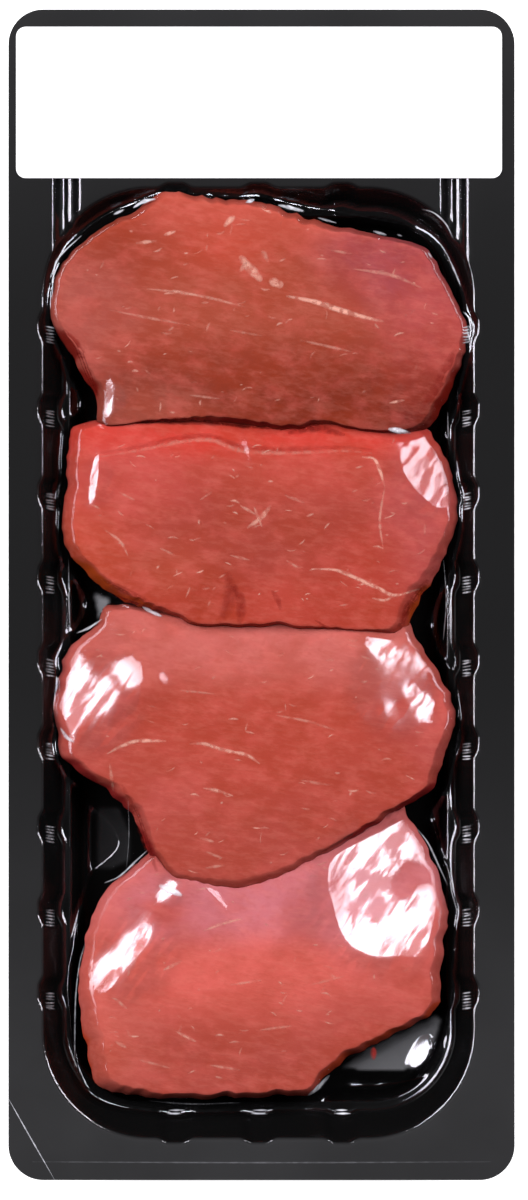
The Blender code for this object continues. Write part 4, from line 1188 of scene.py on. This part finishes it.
def film_material():
    """Clear film: mostly see-through, glossy by its gleam and milky by its haze."""
    material, tree, shader = node_tree("clear_film")
    tree.nodes.remove(shader)
    gleam = attribute(tree, "gleam")
    ripple = bump(tree, texture(tree, 260), 0.12 * MM, 0.3, Normal=leaning_normal(tree))
    folds = texture(tree, 420, (1.0, 0.22, 1.0), FOLDS_TURN, detail=2)
    gloss = node(tree, "BsdfGlossy", "BSDF", {
        "Color": FILM_GLOSS, "Roughness": remap(tree, gleam, FILM_DULL, FILM_BRIGHT, 0.1, 0.19),
        "Normal": bump(tree, folds, 0.2 * MM, 0.35, Normal=ripple)})
    streaks = texture(tree, 560, (1.0, 0.2, 1.0), FOLDS_TURN, distortion=0.4)
    patches = texture(tree, 170, (1.0, 0.5, 1.0), FOLDS_TURN)
    broken = remap(tree, arithmetic(tree, "ADD", streaks, patches), 0.86, 1.06, 0.14, 1.0)
    cut = mix(tree, attribute(tree, "crinkle"), (1.0, 1.0, 1.0), broken)
    haze = remap(tree, attribute(tree, "haze"), 0.0, 1.0, 0.0, 0.2)
    clear = node(tree, "BsdfTransparent", "BSDF", {"Color": FILM_CLEAR})
    milk = node(tree, "BsdfDiffuse", "BSDF", {"Color": FILM_MILK})
    milky = node(tree, "MixShader", "Shader", {0: haze, 1: clear, 2: milk})
    blend = node(tree, "MixShader", "Shader", {
        0: arithmetic(tree, "MULTIPLY", cut, gleam), 1: milky, 2: gloss})
    fill(tree, tree.nodes["Material Output"], {"Surface": blend})
    return material


def paper_material():
    material, tree, shader = node_tree("label_paper")
    grain = texture(tree, 1500, detail=4)
    fill(tree, shader, {
        "Base Color": mix(tree, remap(tree, grain, 0.3, 0.7), (0.9, 0.9, 0.9), (0.94, 0.94, 0.94)),
        "Roughness": 0.55, "Normal": bump(tree, grain, 0.03 * MM, 0.3)})
    return material


def make_tray():
    tray = new_object("tray_shell", tray_mesh(), plastic_material(), slot="tray_plastic",
                      stands_for=("tray",))
    solid = tray.modifiers.new("Thickness", "SOLIDIFY")
    solid.thickness = SHEET
    solid.offset = -1.0
    apply_modifiers(tray)
    tray.data.shade_smooth()
    tray.data.set_sharp_from_angle(angle=math.radians(50))
    return tray


def make_label():
    outline = rounded_outline(*LABEL_SIDES, LABEL_CORNER, LABEL_STEPS)
    bm = bmesh.new()
    lower, upper = join_rings(bm, [
        np.column_stack([outline, np.full(len(outline), TRAY_HEIGHT + lift)])
        for lift in LABEL_LIFTS])
    bm.faces.new(upper)
    bm.faces.new(list(reversed(lower)))
    new_object("label_sheet", made_mesh("label_sheet", bm, smooth=False), paper_material(),
               slot="label_paper", stands_for=("label",))


def make_stage():
    bm = bmesh.new()
    bmesh.ops.create_grid(bm, x_segments=1, y_segments=1, size=4.0)
    floor = placed("floor", made_mesh("floor", bm, smooth=False))
    material, tree, shader = node_tree("pale_floor")
    fill(tree, shader, {"Base Color": (0.85, 0.85, 0.85, 1.0), "Roughness": 0.9,
                        "Emission Color": (1.0, 1.0, 1.0, 1.0), "Emission Strength": 0.95})
    floor.location.z = -FLOOR_GAP
    floor.data.materials.append(material)


def soft_box(name, azimuth, tilt, distance, width, height, power):
    """A rectangular light that faces the pack; azimuth from +X, tilt from straight up."""
    data = bpy.data.lights.new(name, "AREA")
    data.shape = "RECTANGLE"
    data.size = width
    data.size_y = height
    data.energy = power
    data.color = LAMP_COLOUR
    item = placed(name, data)
    lean = math.radians(tilt)
    way = Vector((*(math.sin(lean) * facing(azimuth)), math.cos(lean)))
    item.location = way * distance
    item.rotation_mode = "QUATERNION"
    item.rotation_quaternion = way.to_track_quat("Z", "Y")
    item.visible_camera = False


def make_lights():
    for lamp in SOFT_BOXES:
        soft_box(*lamp)
    world = bpy.data.worlds.new("studio")
    bpy.context.scene.world = world
    world.use_nodes = True
    fill(world.node_tree, world.node_tree.nodes["Background"],
         {"Color": (1.0, 1.0, 1.0, 1.0), "Strength": WORLD_LIGHT})


def make_camera():
    data = bpy.data.cameras.new("camera")
    data.sensor_fit = "AUTO"
    data.sensor_width = SENSOR_WIDTH
    data.lens = SENSOR_WIDTH * (CAMERA_HEIGHT - TRAY_HEIGHT) / (PHOTO_HEIGHT * PHOTO_SCALE)
    data.clip_start = 0.1
    data.clip_end = 20.0
    camera = placed("camera", data)
    camera.location = ((PHOTO_WIDTH / 2 - PACK_MIDDLE_PX[0]) * PHOTO_SCALE,
                       (PACK_MIDDLE_PX[1] - PHOTO_HEIGHT / 2) * PHOTO_SCALE, CAMERA_HEIGHT)
    bpy.context.scene.camera = camera


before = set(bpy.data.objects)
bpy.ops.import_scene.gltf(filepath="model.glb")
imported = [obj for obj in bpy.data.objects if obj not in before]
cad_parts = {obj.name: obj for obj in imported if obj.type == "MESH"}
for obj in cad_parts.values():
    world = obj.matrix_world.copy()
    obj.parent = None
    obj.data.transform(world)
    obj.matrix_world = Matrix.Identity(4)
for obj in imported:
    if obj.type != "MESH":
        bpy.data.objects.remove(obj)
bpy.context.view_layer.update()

make_camera()
make_lights()
make_stage()
tray = make_tray()
surface = search_tree(make_medallions(meat_material()))
xs, ys = np.arange(*FILM_SPAN_X, FILM_STEP), np.arange(*FILM_SPAN_Y, FILM_STEP)
fields = film_fields(search_tree([tray]), surface, xs, ys)
film = new_object("film", film_mesh(*fields, xs, ys), film_material(), slot="clear_film",
                  stands_for=("skin_film",))
marbling = strips(MARBLING, MARBLING_SPREAD) + small_streaks()
crease_glints = strips(CREASE_GLINTS) + lobe_wrinkle_glints()
for name, ribbons, under, lift, ridge, look, colour, break_up, roughness in (
        ("marbling", marbling, surface, STRIP_LIFT, 0.0, "marbling_fat", FAT_COLOUR, 0.75, 0.5),
        # Painted shade in folds and under overlapping edges, with one drop of juice
        ("meat_fold_shade_and_juice", strips(SHADED_FOLDS_AND_JUICE), surface, STRIP_LIFT, 0.0, "fold_shade_and_juice", FOLD_SHADE_AND_JUICE_COLOUR, 0.5, 0.5),
        # Painted glints along the film's creases, and on its wrinkles over the lobes
        ("film_crease_glints", crease_glints, search_tree([film]), CREASE_LIFT, CREASE_RIDGE,
         "film_crease_glint", CREASE_GLINT_COLOUR, 0.5, 0.25)):
    mesh = ribbon_mesh(name, ribbons, under, lift, ridge)
    new_object(name, mesh, ribbon_material(look, srgb(*colour), break_up, roughness))
make_label()

bpy.context.scene.view_settings.view_transform = "Standard"
